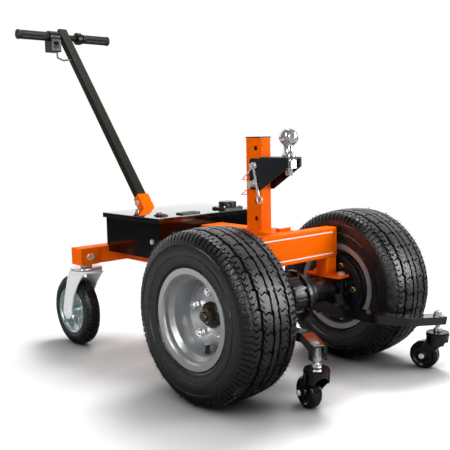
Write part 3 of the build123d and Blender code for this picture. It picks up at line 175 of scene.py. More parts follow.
SWEEP_HALF, SWEEP_WHITE, SWEEP_IN_GLOSS = 14.0, 0.80, 0.15
SHADE_REACH, SHADE_POWER, LENS_LIFT = 0.2, 1.3, 0.12


def floor_finish():
    """White sweep: matt near the wheels, where it holds their shadows, and for the lens pure
    white past a ring whose distance from the middle runs from 0.9 to 1.7 m. It is dimmer in
    gloss, and darker by a power of how open the sky over it is, out to SHADE_REACH."""
    material = bpy.data.materials.new("white_sweep")
    material.use_nodes = True
    tree = material.node_tree
    tree.nodes.clear()
    rays, place = tree.nodes.new("ShaderNodeLightPath"), tree.nodes.new("ShaderNodeTexCoord")
    matt, glow = tree.nodes.new("ShaderNodeBsdfDiffuse"), tree.nodes.new("ShaderNodeEmission")
    tint = tree.nodes.new("ShaderNodeMix")
    for label, value in (("A", SWEEP_WHITE), ("B", SWEEP_IN_GLOSS)):
        tint.inputs[label].default_value = value
    # Painted contact shade: ambient occlusion out to SHADE_REACH darkens the sweep's colour and its
    # lift for the lens around the wheels and casters.
    sky = tree.nodes.new("ShaderNodeAmbientOcclusion")
    sky.inputs["Distance"].default_value = SHADE_REACH
    openness, shaded = math_step(tree, "POWER", SHADE_POWER), math_step(tree, "MULTIPLY")
    lift, lifted = math_step(tree, "MULTIPLY", LENS_LIFT), math_step(tree, "MULTIPLY")
    reach, far = math_step(tree, "LENGTH", kind="ShaderNodeVectorMath"), math_step(tree, "MULTIPLY")
    ring = tree.nodes.new("ShaderNodeMapRange")
    ring.interpolation_type = "SMOOTHSTEP"
    ring.inputs["From Min"].default_value, ring.inputs["From Max"].default_value = 0.9, 1.7
    both, white = tree.nodes.new("ShaderNodeAddShader"), tree.nodes.new("ShaderNodeEmission")
    blend = tree.nodes.new("ShaderNodeMixShader")
    out = tree.nodes.new("ShaderNodeOutputMaterial")
    link_nodes(tree, (rays.outputs["Is Glossy Ray"], tint.inputs["Factor"]),
               (sky.outputs["AO"], openness.inputs[0]), (openness.outputs[0], shaded.inputs[0]),
               (tint.outputs["Result"], shaded.inputs[1]),
               (shaded.outputs[0], matt.inputs["Color"]),
               (rays.outputs["Is Camera Ray"], lift.inputs[0]), (lift.outputs[0], lifted.inputs[0]),
               (openness.outputs[0], lifted.inputs[1]),
               (lifted.outputs[0], glow.inputs["Strength"]),
               (matt.outputs[0], both.inputs[0]), (glow.outputs[0], both.inputs[1]),
               (place.outputs["Object"], reach.inputs[0]),
               (reach.outputs["Value"], ring.inputs["Value"]),
               (ring.outputs["Result"], far.inputs[0]),
               (rays.outputs["Is Camera Ray"], far.inputs[1]), (far.outputs[0], blend.inputs[0]),
               (both.outputs[0], blend.inputs[1]), (white.outputs[0], blend.inputs[2]),
               (blend.outputs[0], out.inputs[0]))
    return material


sweep = SWEEP_HALF * np.array([[[-1, -1, 0], [1, -1, 0]], [[-1, 1, 0], [1, 1, 0]]])
floor = bpy.data.objects.new("floor", grid_mesh(sweep, False, False))
floor.data.materials.append(floor_finish())
bpy.context.scene.collection.objects.link(floor)


# Frame: front beam on two legs, spine rail, pin tower, lower rails, rear beam and tiller bracket.
# Welded mild steel tube, powder coated orange. The coat is satin, with a faint orange peel,
# and the black cap is pressed into the tower's open end.
def surface_group():
    """Group that varies a finish: Cloud is a slow mottle, Grain a fine bump, both in object
    space. Shade is 1 + Cloud x (noise - 0.5), and Roughness moves the same way by its spread."""
    group = bpy.data.node_groups.new("surface_variation", "ShaderNodeTree")
    for label, value in (("Cloud Scale", 6.0), ("Cloud", 0.1), ("Grain Scale", 300.0),
                         ("Grain", 0.1), ("Roughness", 0.4), ("Rough Spread", 0.2)):
        socket = group.interface.new_socket(label, in_out="INPUT", socket_type="NodeSocketFloat")
        socket.default_value = value
    for label, kind in (("Shade", "Float"), ("Roughness", "Float"), ("Normal", "Vector")):
        group.interface.new_socket(label, in_out="OUTPUT", socket_type="NodeSocket" + kind)
    nodes = group.nodes
    entry, leave = nodes.new("NodeGroupInput"), nodes.new("NodeGroupOutput")
    place = nodes.new("ShaderNodeTexCoord")
    cloud, grain = nodes.new("ShaderNodeTexNoise"), nodes.new("ShaderNodeTexNoise")
    cloud.inputs["Detail"].default_value, grain.inputs["Detail"].default_value = 5.0, 2.0
    centred, spread = math_step(group, "SUBTRACT", 0.5), math_step(group, "MULTIPLY")
    shade, swing = math_step(group, "ADD", 1.0), math_step(group, "MULTIPLY")
    rough, depth = math_step(group, "ADD"), math_step(group, "MULTIPLY", 0.002)
    rough.use_clamp = True
    bump = nodes.new("ShaderNodeBump")
    bump.inputs["Strength"].default_value = 1.0
    link_nodes(group, (place.outputs["Object"], cloud.inputs["Vector"]),
               (place.outputs["Object"], grain.inputs["Vector"]),
               (entry.outputs["Cloud Scale"], cloud.inputs["Scale"]),
               (entry.outputs["Grain Scale"], grain.inputs["Scale"]),
               (cloud.outputs["Fac"], centred.inputs[0]), (centred.outputs[0], spread.inputs[0]),
               (entry.outputs["Cloud"], spread.inputs[1]), (spread.outputs[0], shade.inputs[0]),
               (centred.outputs[0], swing.inputs[0]),
               (entry.outputs["Rough Spread"], swing.inputs[1]),
               (swing.outputs[0], rough.inputs[0]), (entry.outputs["Roughness"], rough.inputs[1]),
               (grain.outputs["Fac"], bump.inputs["Height"]),
               (entry.outputs["Grain"], depth.inputs[0]),
               (depth.outputs[0], bump.inputs["Distance"]),
               (shade.outputs[0], leave.inputs["Shade"]),
               (rough.outputs[0], leave.inputs["Roughness"]),
               (bump.outputs["Normal"], leave.inputs["Normal"]))
    return group


VARIATION = surface_group()


def finish(name, colour, rough, metal=0.0, coat=0.0, coat_rough=0.05, cloud=(6.0, 0.15),
           grain=(400.0, 0.1), spread=0.15, specular=0.5):
    """Material of one colour whose shade, roughness and fine bump come from the variation group."""
    material = bpy.data.materials.new(name)
    material.use_nodes = True
    tree = material.node_tree
    shader = tree.nodes["Principled BSDF"]
    shader.inputs["Metallic"].default_value = metal
    shader.inputs["Coat Weight"].default_value = coat
    shader.inputs["Coat Roughness"].default_value = coat_rough
    shader.inputs["Specular IOR Level"].default_value = specular
    vary = tree.nodes.new("ShaderNodeGroup")
    vary.node_tree = VARIATION
    for label, value in (("Cloud Scale", cloud[0]), ("Cloud", cloud[1]), ("Grain Scale", grain[0]),
                         ("Grain", grain[1]), ("Roughness", rough), ("Rough Spread", spread)):
        vary.inputs[label].default_value = value
    tint = tree.nodes.new("ShaderNodeMix")
    tint.data_type, tint.blend_type = "RGBA", "MULTIPLY"
    tint.inputs["Factor"].default_value = 1.0
    tint.inputs["A"].default_value = (*colour, 1)
    link_nodes(tree, (vary.outputs["Shade"], tint.inputs["B"]),
               (tint.outputs["Result"], shader.inputs["Base Color"]),
               (vary.outputs["Roughness"], shader.inputs["Roughness"]),
               (vary.outputs["Normal"], shader.inputs["Normal"]))
    return material


def coat_nodes(material, *names):
    """Gives CAD nodes this material in place of their plain one."""
    for name in names:
        cad_node[name].data.materials.clear()
        cad_node[name].data.materials.append(material)


def add_piece(name, mesh, body, material, replaced=(), smooth_angle=38.0):
    """Object at the origin that rides on a body, shaded smooth but for edges past the angle."""
    piece = bpy.data.objects.new(name, mesh)
    mesh.materials.append(material)
    bpy.context.scene.collection.objects.link(piece)
    mesh.shade_smooth()
    mesh.set_sharp_from_angle(angle=math.radians(smooth_angle))
    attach(piece, body)
    if replaced:
        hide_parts(*replaced)
    return piece


def rounded_copy(name, node, body, material, width=0.8, smooth_angle=30.0):
    """The node's own shape with its triangles merged, faces flat to half a degree joined, curved
    faces shaded smooth, and every edge sharper than the angle rounded to the width in mm."""
    shell = bmesh.new()
    shell.from_mesh(cad_node[node].data)
    bmesh.ops.remove_doubles(shell, verts=shell.verts, dist=2e-6)
    bmesh.ops.dissolve_limit(shell, angle_limit=math.radians(0.5), verts=shell.verts,
                             edges=shell.edges)
    mesh = bpy.data.meshes.new(name)
    shell.to_mesh(mesh)
    shell.free()
    piece = add_piece(name, mesh, body, material, (node,), smooth_angle)
    edge = piece.modifiers.new("rounded_edges", "BEVEL")
    edge.width, edge.segments, edge.limit_method = width * MM, 2, "ANGLE"
    edge.angle_limit, edge.harden_normals = math.radians(smooth_angle), True
    return piece


orange_coat = finish("orange_coat", (0.88, 0.125, 0.0), 0.42, cloud=(5.0, 0.12),
                     grain=(260.0, 0.012), spread=0.10, specular=0.03)
for node in ("axle_legs", "front_beam", "spine_rail", "tower", "lower_frame", "rear_beam",
             "pole_bracket"):
    rounded_copy("welded_" + node, node, "chassis", orange_coat, 1.2)
stripe_white = finish("stripe_white", (0.82, 0.82, 0.80), 0.35, grain=(500.0, 0.03))
STRIPE_X, STRIPE_RISE, STRIPE_HALF = 0.150, (0.309, 0.366), 0.0016
beam_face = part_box("front_beam")[0].y
proud, sunk = beam_face - 0.0003, beam_face + 0.0002
stripes = [[[(x, proud, z - STRIPE_HALF), (x, proud, z + STRIPE_HALF),
             (x, sunk, z + STRIPE_HALF), (x, sunk, z - STRIPE_HALF)]
            for x in (-STRIPE_X, STRIPE_X)] for z in STRIPE_RISE]
add_piece("beam_stripes", grid_mesh(np.array(stripes), False, True), "chassis",
          stripe_white)
end_plastic = finish("end_plastic", (0.012, 0.012, 0.012), 0.40, grain=(700.0, 0.2))
coat_nodes(end_plastic, "tower_cap")


# Coupling head: ball mount, ball, hitch pins, bails and strap.
# The mount is folded plate in black satin coat. The ball is turned steel with bright chrome,
# and the pins, their spring wire bails and the lanyard strap are bright zinc.
mount_coat = finish("mount_coat", (0.010, 0.012, 0.016), 0.36, grain=(500.0, 0.12),
                    cloud=(9.0, 0.3), specular=0.45)
rounded_copy("folded_mount", "ball_mount", "chassis", mount_coat, 1.6)
chrome = finish("chrome", (0.90, 0.90, 0.91), 0.07, metal=0.82, cloud=(12.0, 0.04),
                grain=(900.0, 0.01), spread=0.03)
bright_zinc = finish("bright_zinc", (0.88, 0.89, 0.90), 0.24, metal=0.55, cloud=(30.0, 0.12),
                     grain=(800.0, 0.04), spread=0.2)
coat_nodes(bright_zinc, "upper_pin", "lower_pin", "upper_bail", "lower_bail", "foot_strip")


def zoned_finish(name, zones, centre, weights):
    """Finish that changes with distance, the length of (place - centre) x weights. Each zone is
    (where it starts in metres, colour, metal, roughness)."""
    material = finish(name, zones[0][1], zones[0][3], metal=zones[0][2], grain=(700.0, 0.04))
    tree = material.node_tree
    shader = tree.nodes["Principled BSDF"]
    place = tree.nodes.new("ShaderNodeTexCoord")
    shift = math_step(tree, "SUBTRACT", centre, "ShaderNodeVectorMath")
    stretch = math_step(tree, "MULTIPLY", weights, "ShaderNodeVectorMath")
    distance = math_step(tree, "LENGTH", kind="ShaderNodeVectorMath")
    metal = tree.nodes.new("ShaderNodeValue")
    metal.outputs[0].default_value = zones[0][2]
    link_nodes(tree, (place.outputs["Object"], shift.inputs[0]),
               (shift.outputs["Vector"], stretch.inputs[0]),
               (stretch.outputs["Vector"], distance.inputs[0]))
    last = {"Base Color": shader.inputs["Base Color"].links[0].from_socket,
            "Metallic": metal.outputs[0],
            "Roughness": shader.inputs["Roughness"].links[0].from_socket}
    for start, colour, metallic, rough in zones[1:]:
        past = math_step(tree, "GREATER_THAN", start)
        link_nodes(tree, (distance.outputs["Value"], past.inputs[0]))
        for label, value in (("Base Color", (*colour, 1)), ("Metallic", metallic),
                             ("Roughness", rough)):
            mix = tree.nodes.new("ShaderNodeMix")
            mix.data_type = "RGBA" if label == "Base Color" else "FLOAT"
            mix.inputs["B"].default_value = value
            link_nodes(tree, (past.outputs[0], mix.inputs["Factor"]),
                       (last[label], mix.inputs["A"]))
            last[label] = mix.outputs["Result"]
    link_nodes(tree, *((socket, shader.inputs[label]) for label, socket in last.items()))
    return material


# The near black band on the bolt shanks, from 0.13 to 0.241 m high, is painted shade where they
# stand in the dark between the foot and the arm clamps.
SHANK_SHADE, PLATED = (0.012, 0.012, 0.013), (0.90, 0.90, 0.91)
BOLT_ZONES = ((0.0, PLATED, 0.6, 0.24), (0.13, SHANK_SHADE, 0.5, 0.4), (0.241, PLATED, 0.6, 0.24))
bolt_painted_shade = zoned_finish("bolt_painted_shade", BOLT_ZONES, (0, 0, 0), (0, 0, 1))
rounded_copy("zinc_bolts", "frame_bolts", "chassis", bolt_painted_shade, 0.7)
rounded_copy("lanyard_strap", "link_strap", "pin_strap", bright_zinc, 0.4)


def turned(profile, centre, axis, steps):
    """Profile of (place along the axis, radius) carried once round the axis: the point at
    angle t is the centre + place on the axis + radius x (cos t, sin t) across it."""
    along, radius = np.array(profile, float).T * MM
    t = np.arange(steps) * 2 * np.pi / steps
    ring = radius[:, None]
    straight = along[:, None] + 0 * t
    if axis == "x":
        points = np.stack([straight, ring * np.cos(t), ring * np.sin(t)], axis=-1)
    else:
        points = np.stack([ring * np.cos(t), ring * np.sin(t), straight], axis=-1)
    return points + np.array(centre)


BALL_R, BALL_HEIGHT = 25.4, 0.625
ball_low, ball_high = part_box("hitch_ball")
ball_centre = ((ball_low.x + ball_high.x) / 2, (ball_low.y + ball_high.y) / 2, BALL_HEIGHT)
dome = np.linspace(-1.0, 1.26, 40)
ball_profile = [(-99.0, 0), (-99.0, 8.5), (-97.0, 10), (-52.0, 10), (-52.0, 18.0), (-51.0, 19.0),
                (-45.5, 19.0), (-44.5, 18.0), (-42.0, 15.0), (-36.0, 13.6), (-28.0, 13.4),
                (-22.6, 13.6)]
ball_profile += [(BALL_R * math.sin(a), BALL_R * math.cos(a)) for a in dome]
ball_profile += [(24.2, 6.8), (24.2, 0)]
add_piece("chrome_ball", grid_mesh(turned(ball_profile, ball_centre, "z", 96), False, True),
          "chassis", chrome, ("hitch_ball",))


# Main wheels: tubeless trailer tyres.
# Black rubber moulded in one piece. Four zigzag grooves run round the tread, slanted sipes
# cross its ribs, short bars ring the shoulder, and plain raised rings mark the sidewall.
def crown(across, radius, drop, reach):
    """Radius of the tread at a distance from its middle: a parabola that falls by drop."""
    return radius - drop * (across / reach) ** 2


def tread_row(tread, x, groove=0.0, full=0.0, part=0.0, slant=0.0, zig=0.0):
    """Row of a tyre at a distance from its middle, with the crown's radius there. The tread is
    the crown's (radius, drop, reach), and the rest is what moulded_tyre cuts and leans."""
    return (x, crown(x, *tread), groove, full, part, slant, zig)


def wall_rows(wall, slant):
    """Rows of a sidewall and lining, given as (distance from the middle, radius, full, part)."""
    return [(x, r, 0.0, full, part, slant, 0.0) for x, r, full, part in wall]


RIB_BLOCK, SHOULDER_BLOCK = (13.2, 38.6), (46.6, 66.0)


def main_tyre_rows():
    """Half of the main tyre from its middle: rib, groove, two blocks whose sipes lean by a line
    plus a sine over the block, shoulder with its bars, ringed sidewall, bead and lining."""
    row = partial(tread_row, (209.5, 5.5, 66.0))
    half = [row(0.0), row(3.5), row(5.4, zig=0.4), row(5.9, full=3.0, part=2.0, zig=0.6),
            row(7.2, full=3.0, part=2.0, zig=0.8), row(7.8, 7.5, zig=0.8), row(12.6, 7.5, zig=0.8)]
    for x in np.linspace(*RIB_BLOCK, 12):
        u = (x - RIB_BLOCK[0]) / (RIB_BLOCK[1] - RIB_BLOCK[0])
        lean = 15.0 * (u - 0.5) + 5.5 * math.sin(2 * math.pi * u)
        half.append(row(x, full=6.5, part=4.5 if u > 0.7 else 0.0, slant=lean,
                        zig=0.9 * (1 - u) ** 3 + u ** 3))
    half += [row(39.2, 7.5, slant=7.5, zig=1.0), row(46.0, 7.5, slant=7.5, zig=1.0)]
    for x in np.linspace(*SHOULDER_BLOCK, 9):
        u = (x - SHOULDER_BLOCK[0]) / (SHOULDER_BLOCK[1] - SHOULDER_BLOCK[0])
        lean = 7.5 + 9.0 * u + 4.0 * math.sin(2 * math.pi * u)
        half.append(row(x, full=6.0 if u > 0.02 else 0.0, part=4.8 if u > 0.45 else 0.0,
                        slant=lean, zig=(1 - u) ** 3))
    half += wall_rows([
        (69.0, 202.0, 5.6, 5.0), (72.0, 199.0, 5.4, 5.2), (75.0, 194.5, 4.8, 4.8),
        (77.6, 189.0, 4.0, 4.0), (79.2, 184.6, 3.0, 3.0), (79.6, 183.4, 0, 0),
        (80.4, 181.0, 0, 0), (81.2, 177.6, 0, 0), (82.2, 177.2, 0, 0), (82.2, 175.4, 0, 0),
        (80.8, 174.6, 0, 0), (81.3, 168.0, 0, 0), (81.3, 160.0, 0, 0), (80.7, 153.6, 0, 0),
        (80.5, 152.2, 0, 0), (82.2, 151.2, 0, 0), (82.1, 149.6, 0, 0), (80.5, 148.6, 0, 0),
        (79.8, 142.0, 0, 0), (78.0, 135.0, 0, 0), (77.2, 131.5, 0, 0), (77.6, 130.2, 0, 0),
        (76.8, 127.5, 0, 0), (74.6, 124.6, 0, 0), (72.3, 123.0, 0, 0), (70.4, 120.5, 0, 0),
        (70.3, 112.0, 0, 0), (64.6, 105.5, 0, 0), (58.0, 105.5, 0, 0), (60.0, 118.0, 0, 0),
        (70.0, 148.0, 0, 0), (71.0, 170.0, 0, 0), (62.0, 189.0, 0, 0), (30.0, 192.0, 0, 0)], 16.5)
    return np.array(half, float)


LEAN_RADIUS, ZIGZAG, TREAD_PITCHES = 209.5, 2.2, 30


def moulded_tyre(half, fractions, full_columns, part_columns, centre):
    """Tyre in mm as a grid of rows across by columns round, which stand at fractions of each
    pitch. A row has a place across, a radius, a groove's depth, and the depths of full and part
    sipes in their own columns, all cut along its inward normal. Columns lean by the row's slant,
    in mm at LEAN_RADIUS, and swing across by zig x a sawtooth once a pitch. The far half is the
    near one turned half round about the radius, so the pattern runs alike on both sides."""
    far = half[1:].copy()
    far[:, 0] *= -1
    far[:, 5] *= -1
    rows = np.vstack([half, far[::-1]])
    sense = np.where(np.arange(len(rows)) < len(half), 1.0, -1.0)
    across, radius, groove, full, part, slant, zig = rows.T
    ahead = np.roll(rows[:, :2], -1, 0) - np.roll(rows[:, :2], 1, 0)
    length = np.hypot(ahead[:, 0], ahead[:, 1])
    inward = np.stack([ahead[:, 1], -ahead[:, 0]], axis=-1) / length[:, None]
    steps = len(fractions)
    column = np.arange(TREAD_PITCHES * steps)
    place, pitch = np.array(fractions)[column % steps], column // steps
    in_full = np.isin(column % steps, full_columns).astype(float)
    in_part = np.isin(column % steps, part_columns).astype(float)
    angle = 2 * np.pi / TREAD_PITCHES * (pitch + place) + (slant / LEAN_RADIUS)[:, None]
    saw = ZIGZAG * (2 * place - 1)
    sipe = np.maximum(full[:, None] * in_full, part[:, None] * in_part)
    depth = np.maximum(sipe, groove[:, None])
    x = across[:, None] + zig[:, None] * saw * sense[:, None] + depth * inward[:, :1]
    r = radius[:, None] + depth * inward[:, 1:]
    points = np.stack([x, r * np.cos(angle), r * np.sin(angle)], axis=-1) * MM
    return grid_mesh(points + np.array(centre), True, True)


def rubber_finish(name, colour, rough):
    """Tyre rubber: mottled near black with a fine pebble and a faint moulding gloss."""
    return finish(name, colour, rough, cloud=(18.0, 0.5), grain=(300.0, 0.45), spread=0.2,
                  specular=0.8)


tyre_rubber = rubber_finish("tyre_rubber", (0.0065, 0.0065, 0.007), 0.27)
WHEEL_X = 0.2624
MAIN_FRACTIONS = (0, 0.01, 0.09, 0.10, 0.21, 0.33, 0.345, 0.42, 0.435, 0.54, 0.66, 0.675, 0.75,
                  0.765, 0.88)
main_rows = main_tyre_rows()
for label, sign in (("left", -1), ("right", 1)):
    shape = moulded_tyre(main_rows, MAIN_FRACTIONS, (1, 2), (6, 7, 11, 12),
                         (sign * WHEEL_X, AXLE[1], AXLE[2]))
    add_piece(label + "_trailer_tyre", shape, label + "_wheel", tyre_rubber,
              (label + "_tyre",), 32.0)


HAIR_GIRTH, HAIR_ROOT, HAIR_LIMIT_X, HAIR_LIMIT_R = 1.25, 0.6, 81.9, 208.9
SHOULDER_X = (65.0, 69.0, 72.0, 75.0, 77.6, 79.2)
SHOULDER_R = (204.1, 202.0, 199.0, 194.5, 189.0, 184.6)


def moulding_hairs(count, centre, sign, seed):
    """Thin rubber whiskers left by the mould's vents: each a three-sided spike from a point sunk
    in the shoulder, along the outward normal with a random lean, cut short at the tyre's reach."""
    draw = np.random.default_rng(seed)
    turn = draw.uniform(0, 2 * np.pi, count)
    across = draw.choice((65.0, 69.0, 72.5, 76.0), count)
    radius = np.interp(across, SHOULDER_X, SHOULDER_R)
    normal = np.interp(across, (67.0, 78.0), (38.0, 12.0))
    tilt = np.radians(normal + draw.uniform(-14, 14, count))
    length = draw.uniform(6.0, 11.0, count)
    third = np.arange(3) * 2 * np.pi / 3
    root_x = (across - HAIR_ROOT * np.cos(tilt))[:, None] + HAIR_GIRTH * np.sin(third)
    root_r = radius[:, None] - HAIR_ROOT + HAIR_GIRTH * np.cos(third)
    tip_x = np.minimum(across + length * np.cos(tilt), HAIR_LIMIT_X)
    tip_r = np.minimum(radius + length * np.sin(tilt), HAIR_LIMIT_R)
    swing = turn + draw.uniform(-0.012, 0.012, count)
    x = np.concatenate([root_x, tip_x[:, None]], axis=1) * sign
    r = np.concatenate([root_r, tip_r[:, None]], axis=1)
    a = np.stack([turn, turn + 0.002, turn - 0.002, swing], axis=1)
    spikes = np.stack([x, r * np.cos(a), r * np.sin(a)], axis=-1) * MM + np.array(centre)
    first = 4 * np.arange(count)[:, None]
    sides = [first + np.array(face) for face in ((0, 1, 3), (1, 2, 3), (2, 0, 3), (2, 1, 0))]
    return shell_mesh(spikes, np.concatenate(sides))


HAIRS_EACH_SIDE = 230
for label, sign, seed in (("left", -1, 11), ("right", 1, 12)):
    for side_label, face in (("outer", sign), ("inner", -sign)):
        hairs = moulding_hairs(HAIRS_EACH_SIDE, (sign * WHEEL_X, AXLE[1], AXLE[2]), face,
                               seed + 10 * (face > 0))
        add_piece(f"{label}_{side_label}_hairs", hairs, label + "_wheel",
                  tyre_rubber)


# Main wheels: pressed rims, hubs, nuts and half shafts.
# Silver painted pressed steel with a rolled lip, black cast hubs and drums, chromed wheel
# nuts, and brass plugs in the back of each drum.
rim_silver = finish("rim_silver", (0.52, 0.53, 0.54), 0.33, metal=0.78, coat=0.3, coat_rough=0.10,
                    cloud=(10.0, 0.10), grain=(1200.0, 0.05))
cast_black = finish("cast_black", (0.007, 0.007, 0.0075), 0.24, coat=0.35, coat_rough=0.14,
                    cloud=(14.0, 0.5), grain=(350.0, 0.25), spread=0.25)
for node, width in (("gearcase", 0.8), ("axle_tubes", 1.0), ("drive_motor", 0.8)):
    rounded_copy("cast_" + node, node, "chassis", cast_black, width)
CASTLE_NUT, WHEEL_NUTS = (0.0, (0.33, 0.24, 0.14), 1.0, 0.30), (0.024, PLATED, 0.85, 0.08)
VALVE = (0.0695, (0.008, 0.008, 0.008), 0.0, 0.40)
nut_finish = zoned_finish("nut_finish", (CASTLE_NUT, WHEEL_NUTS, VALVE), tuple(AXLE), (0, 1, 1))
shaft_steel = finish("shaft_steel", (0.16, 0.14, 0.12), 0.32, metal=1.0, cloud=(60.0, 0.3),
                     grain=(900.0, 0.1))
for side_name in ("left_", "right_"):
    for name, node, slot, material, width, angle in (
            ("pressed_rim", "rim", "wheel_silver", rim_silver, 0.6, 38.0),
            ("cast_hub", "hub", "casting_black", cast_black, 1.0, 30.0),
            ("wheel_nuts", "lug_nuts", "chrome", nut_finish, 0.5, 30.0),
            ("half_shaft", "axle_shaft", "bolt_steel", shaft_steel, 0.5, 30.0)):
        rounded_copy(side_name + name, side_name + node, side_name + "wheel", material,
                     width, angle)

brass = finish("brass", (0.78, 0.50, 0.20), 0.28, metal=1.0, cloud=(50.0, 0.25),
               grain=(900.0, 0.06))
PLUG_RING, PLUG_TURN, PLUG_COUNT = 63.0, 20.0, 5
plug_turns = np.radians(PLUG_TURN + 360.0 / PLUG_COUNT * np.arange(PLUG_COUNT))
plug_profile = np.array([(2.6, 0.0), (2.6, 7.9), (0.2, 7.9), (-0.9, 7.0), (-1.1, 3.6), (0.7, 3.0),
                         (0.7, 0.0)])
for side_name, sign in (("left_", -1), ("right_", 1)):
    drum_back = sign * min(abs(corner.x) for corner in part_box(side_name + "hub"))
    plugs = [turned(plug_profile * (sign, 1.0),
                    (drum_back, AXLE[1] - PLUG_RING * MM * math.sin(a),
                     AXLE[2] + PLUG_RING * MM * math.cos(a)), "x", 20) for a in plug_turns]
    add_piece(side_name + "drum_plugs", grid_mesh(np.stack(plugs), False, True),
              side_name + "wheel", brass)


# Stabiliser arms and front casters.
# Pressed channel in black gloss enamel. Each carries a small swivel caster: plated stem and
# raceway, black pressed fork, and a hard black roller.
enamel = finish("black_enamel", (0.003, 0.003, 0.003), 0.13, coat=1.0, coat_rough=0.04,
                cloud=(8.0, 0.3), grain=(200.0, 0.04), spread=0.08)
fork_satin = finish("fork_satin", (0.003, 0.003, 0.003), 0.16, coat=1.0, coat_rough=0.05,
                    cloud=(20.0, 0.3), grain=(600.0, 0.06))
STEM_ZONES = ((0.0, (0.006, 0.006, 0.006), 0.0, 0.20), (0.1052, PLATED, 0.75, 0.20))
stem_finish = zoned_finish("stem_finish", STEM_ZONES, (0, 0, 0), (0, 0, 1))
rounded_copy("swivel_stems", "caster_stems", "chassis", stem_finish, 0.6)
roller_black = finish("roller_black", (0.004, 0.004, 0.004), 0.19, coat=0.5, cloud=(30.0, 0.3),
                      grain=(800.0, 0.05))
for side_name in ("left_", "right_"):
    rounded_copy(side_name + "channel_arm", side_name + "arm", "chassis", enamel,
                 1.0)
    rounded_copy(side_name + "small_fork", side_name + "front_fork", side_name + "front_swivel",
                 fork_satin, 1.0)
    rounded_copy(side_name + "small_roller", side_name + "front_wheel", side_name + "front_roller",
                 roller_black, 3.0, 25.0)

cap_profile = np.array([(-4.6, 0.0), (-4.6, 6.9), (-1.2, 6.9), (0.0, 6.0), (0.5, 3.4), (0.6, 0.0)])
TRAIL, SMALL_RADIUS = 34.0 * MM, 37.5 * MM
for side_name, yaw, pivot_x, pivot_y in (("left_", -17.8, -0.150, -0.222),
                                         ("right_", 14.8, 0.305, -0.250)):
    turn_cos, turn_sin = math.cos(math.radians(yaw)), math.sin(math.radians(yaw))
    turn = np.array([[turn_cos, -turn_sin, 0.0], [turn_sin, turn_cos, 0.0], [0.0, 0.0, 1.0]])
    pivot = np.array([pivot_x, AXLE[1] + pivot_y, 0.0])
    fork = np.array([v.co for v in cad_node[side_name + "front_fork"].data.vertices]) - pivot
    half_width = float((fork @ turn)[:, 0].max())
    caps = [turned(cap_profile * (sign, 1.0), (sign * half_width, TRAIL, SMALL_RADIUS), "x", 24)
            @ turn.T + pivot for sign in (-1.0, 1.0)]
    add_piece(side_name + "axle_caps", grid_mesh(np.stack(caps), False, True),
              side_name + "front_swivel", bright_zinc)


# Rear casters.
# Zinc plated pressed forks on a ball raceway, galvanised rims and small pneumatic tyres with
# two wavy ribs in the middle and a row of lugs on each shoulder.
zinc_plate = finish("zinc_plate", (0.94, 0.95, 0.96), 0.34, metal=0.12, cloud=(16.0, 0.06),
                    grain=(500.0, 0.08), spread=0.25)
blue_zinc = finish("blue_zinc", (0.68, 0.79, 0.80), 0.22, metal=0.85, cloud=(24.0, 0.3),
                   grain=(500.0, 0.05), spread=0.2)
for side_name in ("left_", "right_"):
    rounded_copy(side_name + "pressed_fork", side_name + "rear_fork", side_name + "rear_swivel",
                 zinc_plate, 0.8)
    rounded_copy(side_name + "galvanised_rim", side_name + "rear_rim", side_name + "rear_roller",
                 blue_zinc, 0.5, 38.0)

SWIVEL_X, SWIVEL_BACK = 0.247, 0.600
RACE_R, RACE_Z, BEARING_BALLS, BEAD_R = 47.0, 242.4, 44, 1.15
bead_turns = np.linspace(0, 2 * np.pi, BEARING_BALLS, endpoint=False)
latitude = np.linspace(-np.pi / 2, np.pi / 2, 7)
bead_profile = np.stack([BEAD_R * np.sin(latitude), BEAD_R * np.cos(latitude)], axis=-1)
band_profile = [(-1.3, RACE_R - 3.0), (-1.3, RACE_R + 0.1), (1.3, RACE_R + 0.1),
                (1.3, RACE_R - 3.0)]
# The dark band behind the bearing balls is painted shade for the gap in the raceway.
raceway_shade = finish("raceway_shade", (0.03, 0.03, 0.03), 0.45)
for side_name, sign in (("left_", -1), ("right_", 1)):
    pivot = np.array([sign * SWIVEL_X, AXLE[1] + SWIVEL_BACK, RACE_Z * MM])
    add_piece(side_name + "race_band", grid_mesh(turned(band_profile, pivot, "z", 72), True, True),
              "chassis", raceway_shade)
    beads = [turned(bead_profile,
                    pivot + (RACE_R + 0.2) * MM * np.array([math.cos(a), math.sin(a), 0.0]), "z", 8)
             for a in bead_turns]
    add_piece(side_name + "race_balls", grid_mesh(np.stack(beads), False, True), "chassis",
              zinc_plate, (), 70.0)


def caster_tyre_rows():
    """Half of the caster's tyre from its middle: groove, wavy rib, groove, shoulder lugs,
    sidewall and bead."""
    row = partial(tread_row, (108.0, 3.4, 16.0))
    half = [row(0.0, 3.6), row(1.3, 3.6, zig=0.6), row(1.7, zig=0.6), row(6.0, zig=1.0),
            row(6.4, 3.6, zig=1.0), row(9.4, 3.6, zig=1.0), row(9.8, full=4.6, zig=0.8),
            row(12.0, full=4.8, part=4.0, slant=0.8), row(15.0, full=4.8, part=4.0, slant=1.8)]
    half += wall_rows([
        (18.0, 101.4, 4.6, 4.0), (20.6, 97.0, 3.8, 3.2), (22.1, 93.2, 2.6, 2.2), (22.5, 92.2, 0, 0),
        (23.5, 87.0, 0, 0), (23.9, 83.5, 0, 0), (23.7, 80.0, 0, 0), (22.4, 76.0, 0, 0),
        (20.6, 73.6, 0, 0), (18.8, 72.6, 0, 0), (18.8, 69.6, 0, 0), (15.8, 65.6, 0, 0),
        (8.0, 65.6, 0, 0)], 2.0)
    return np.array(half, float)


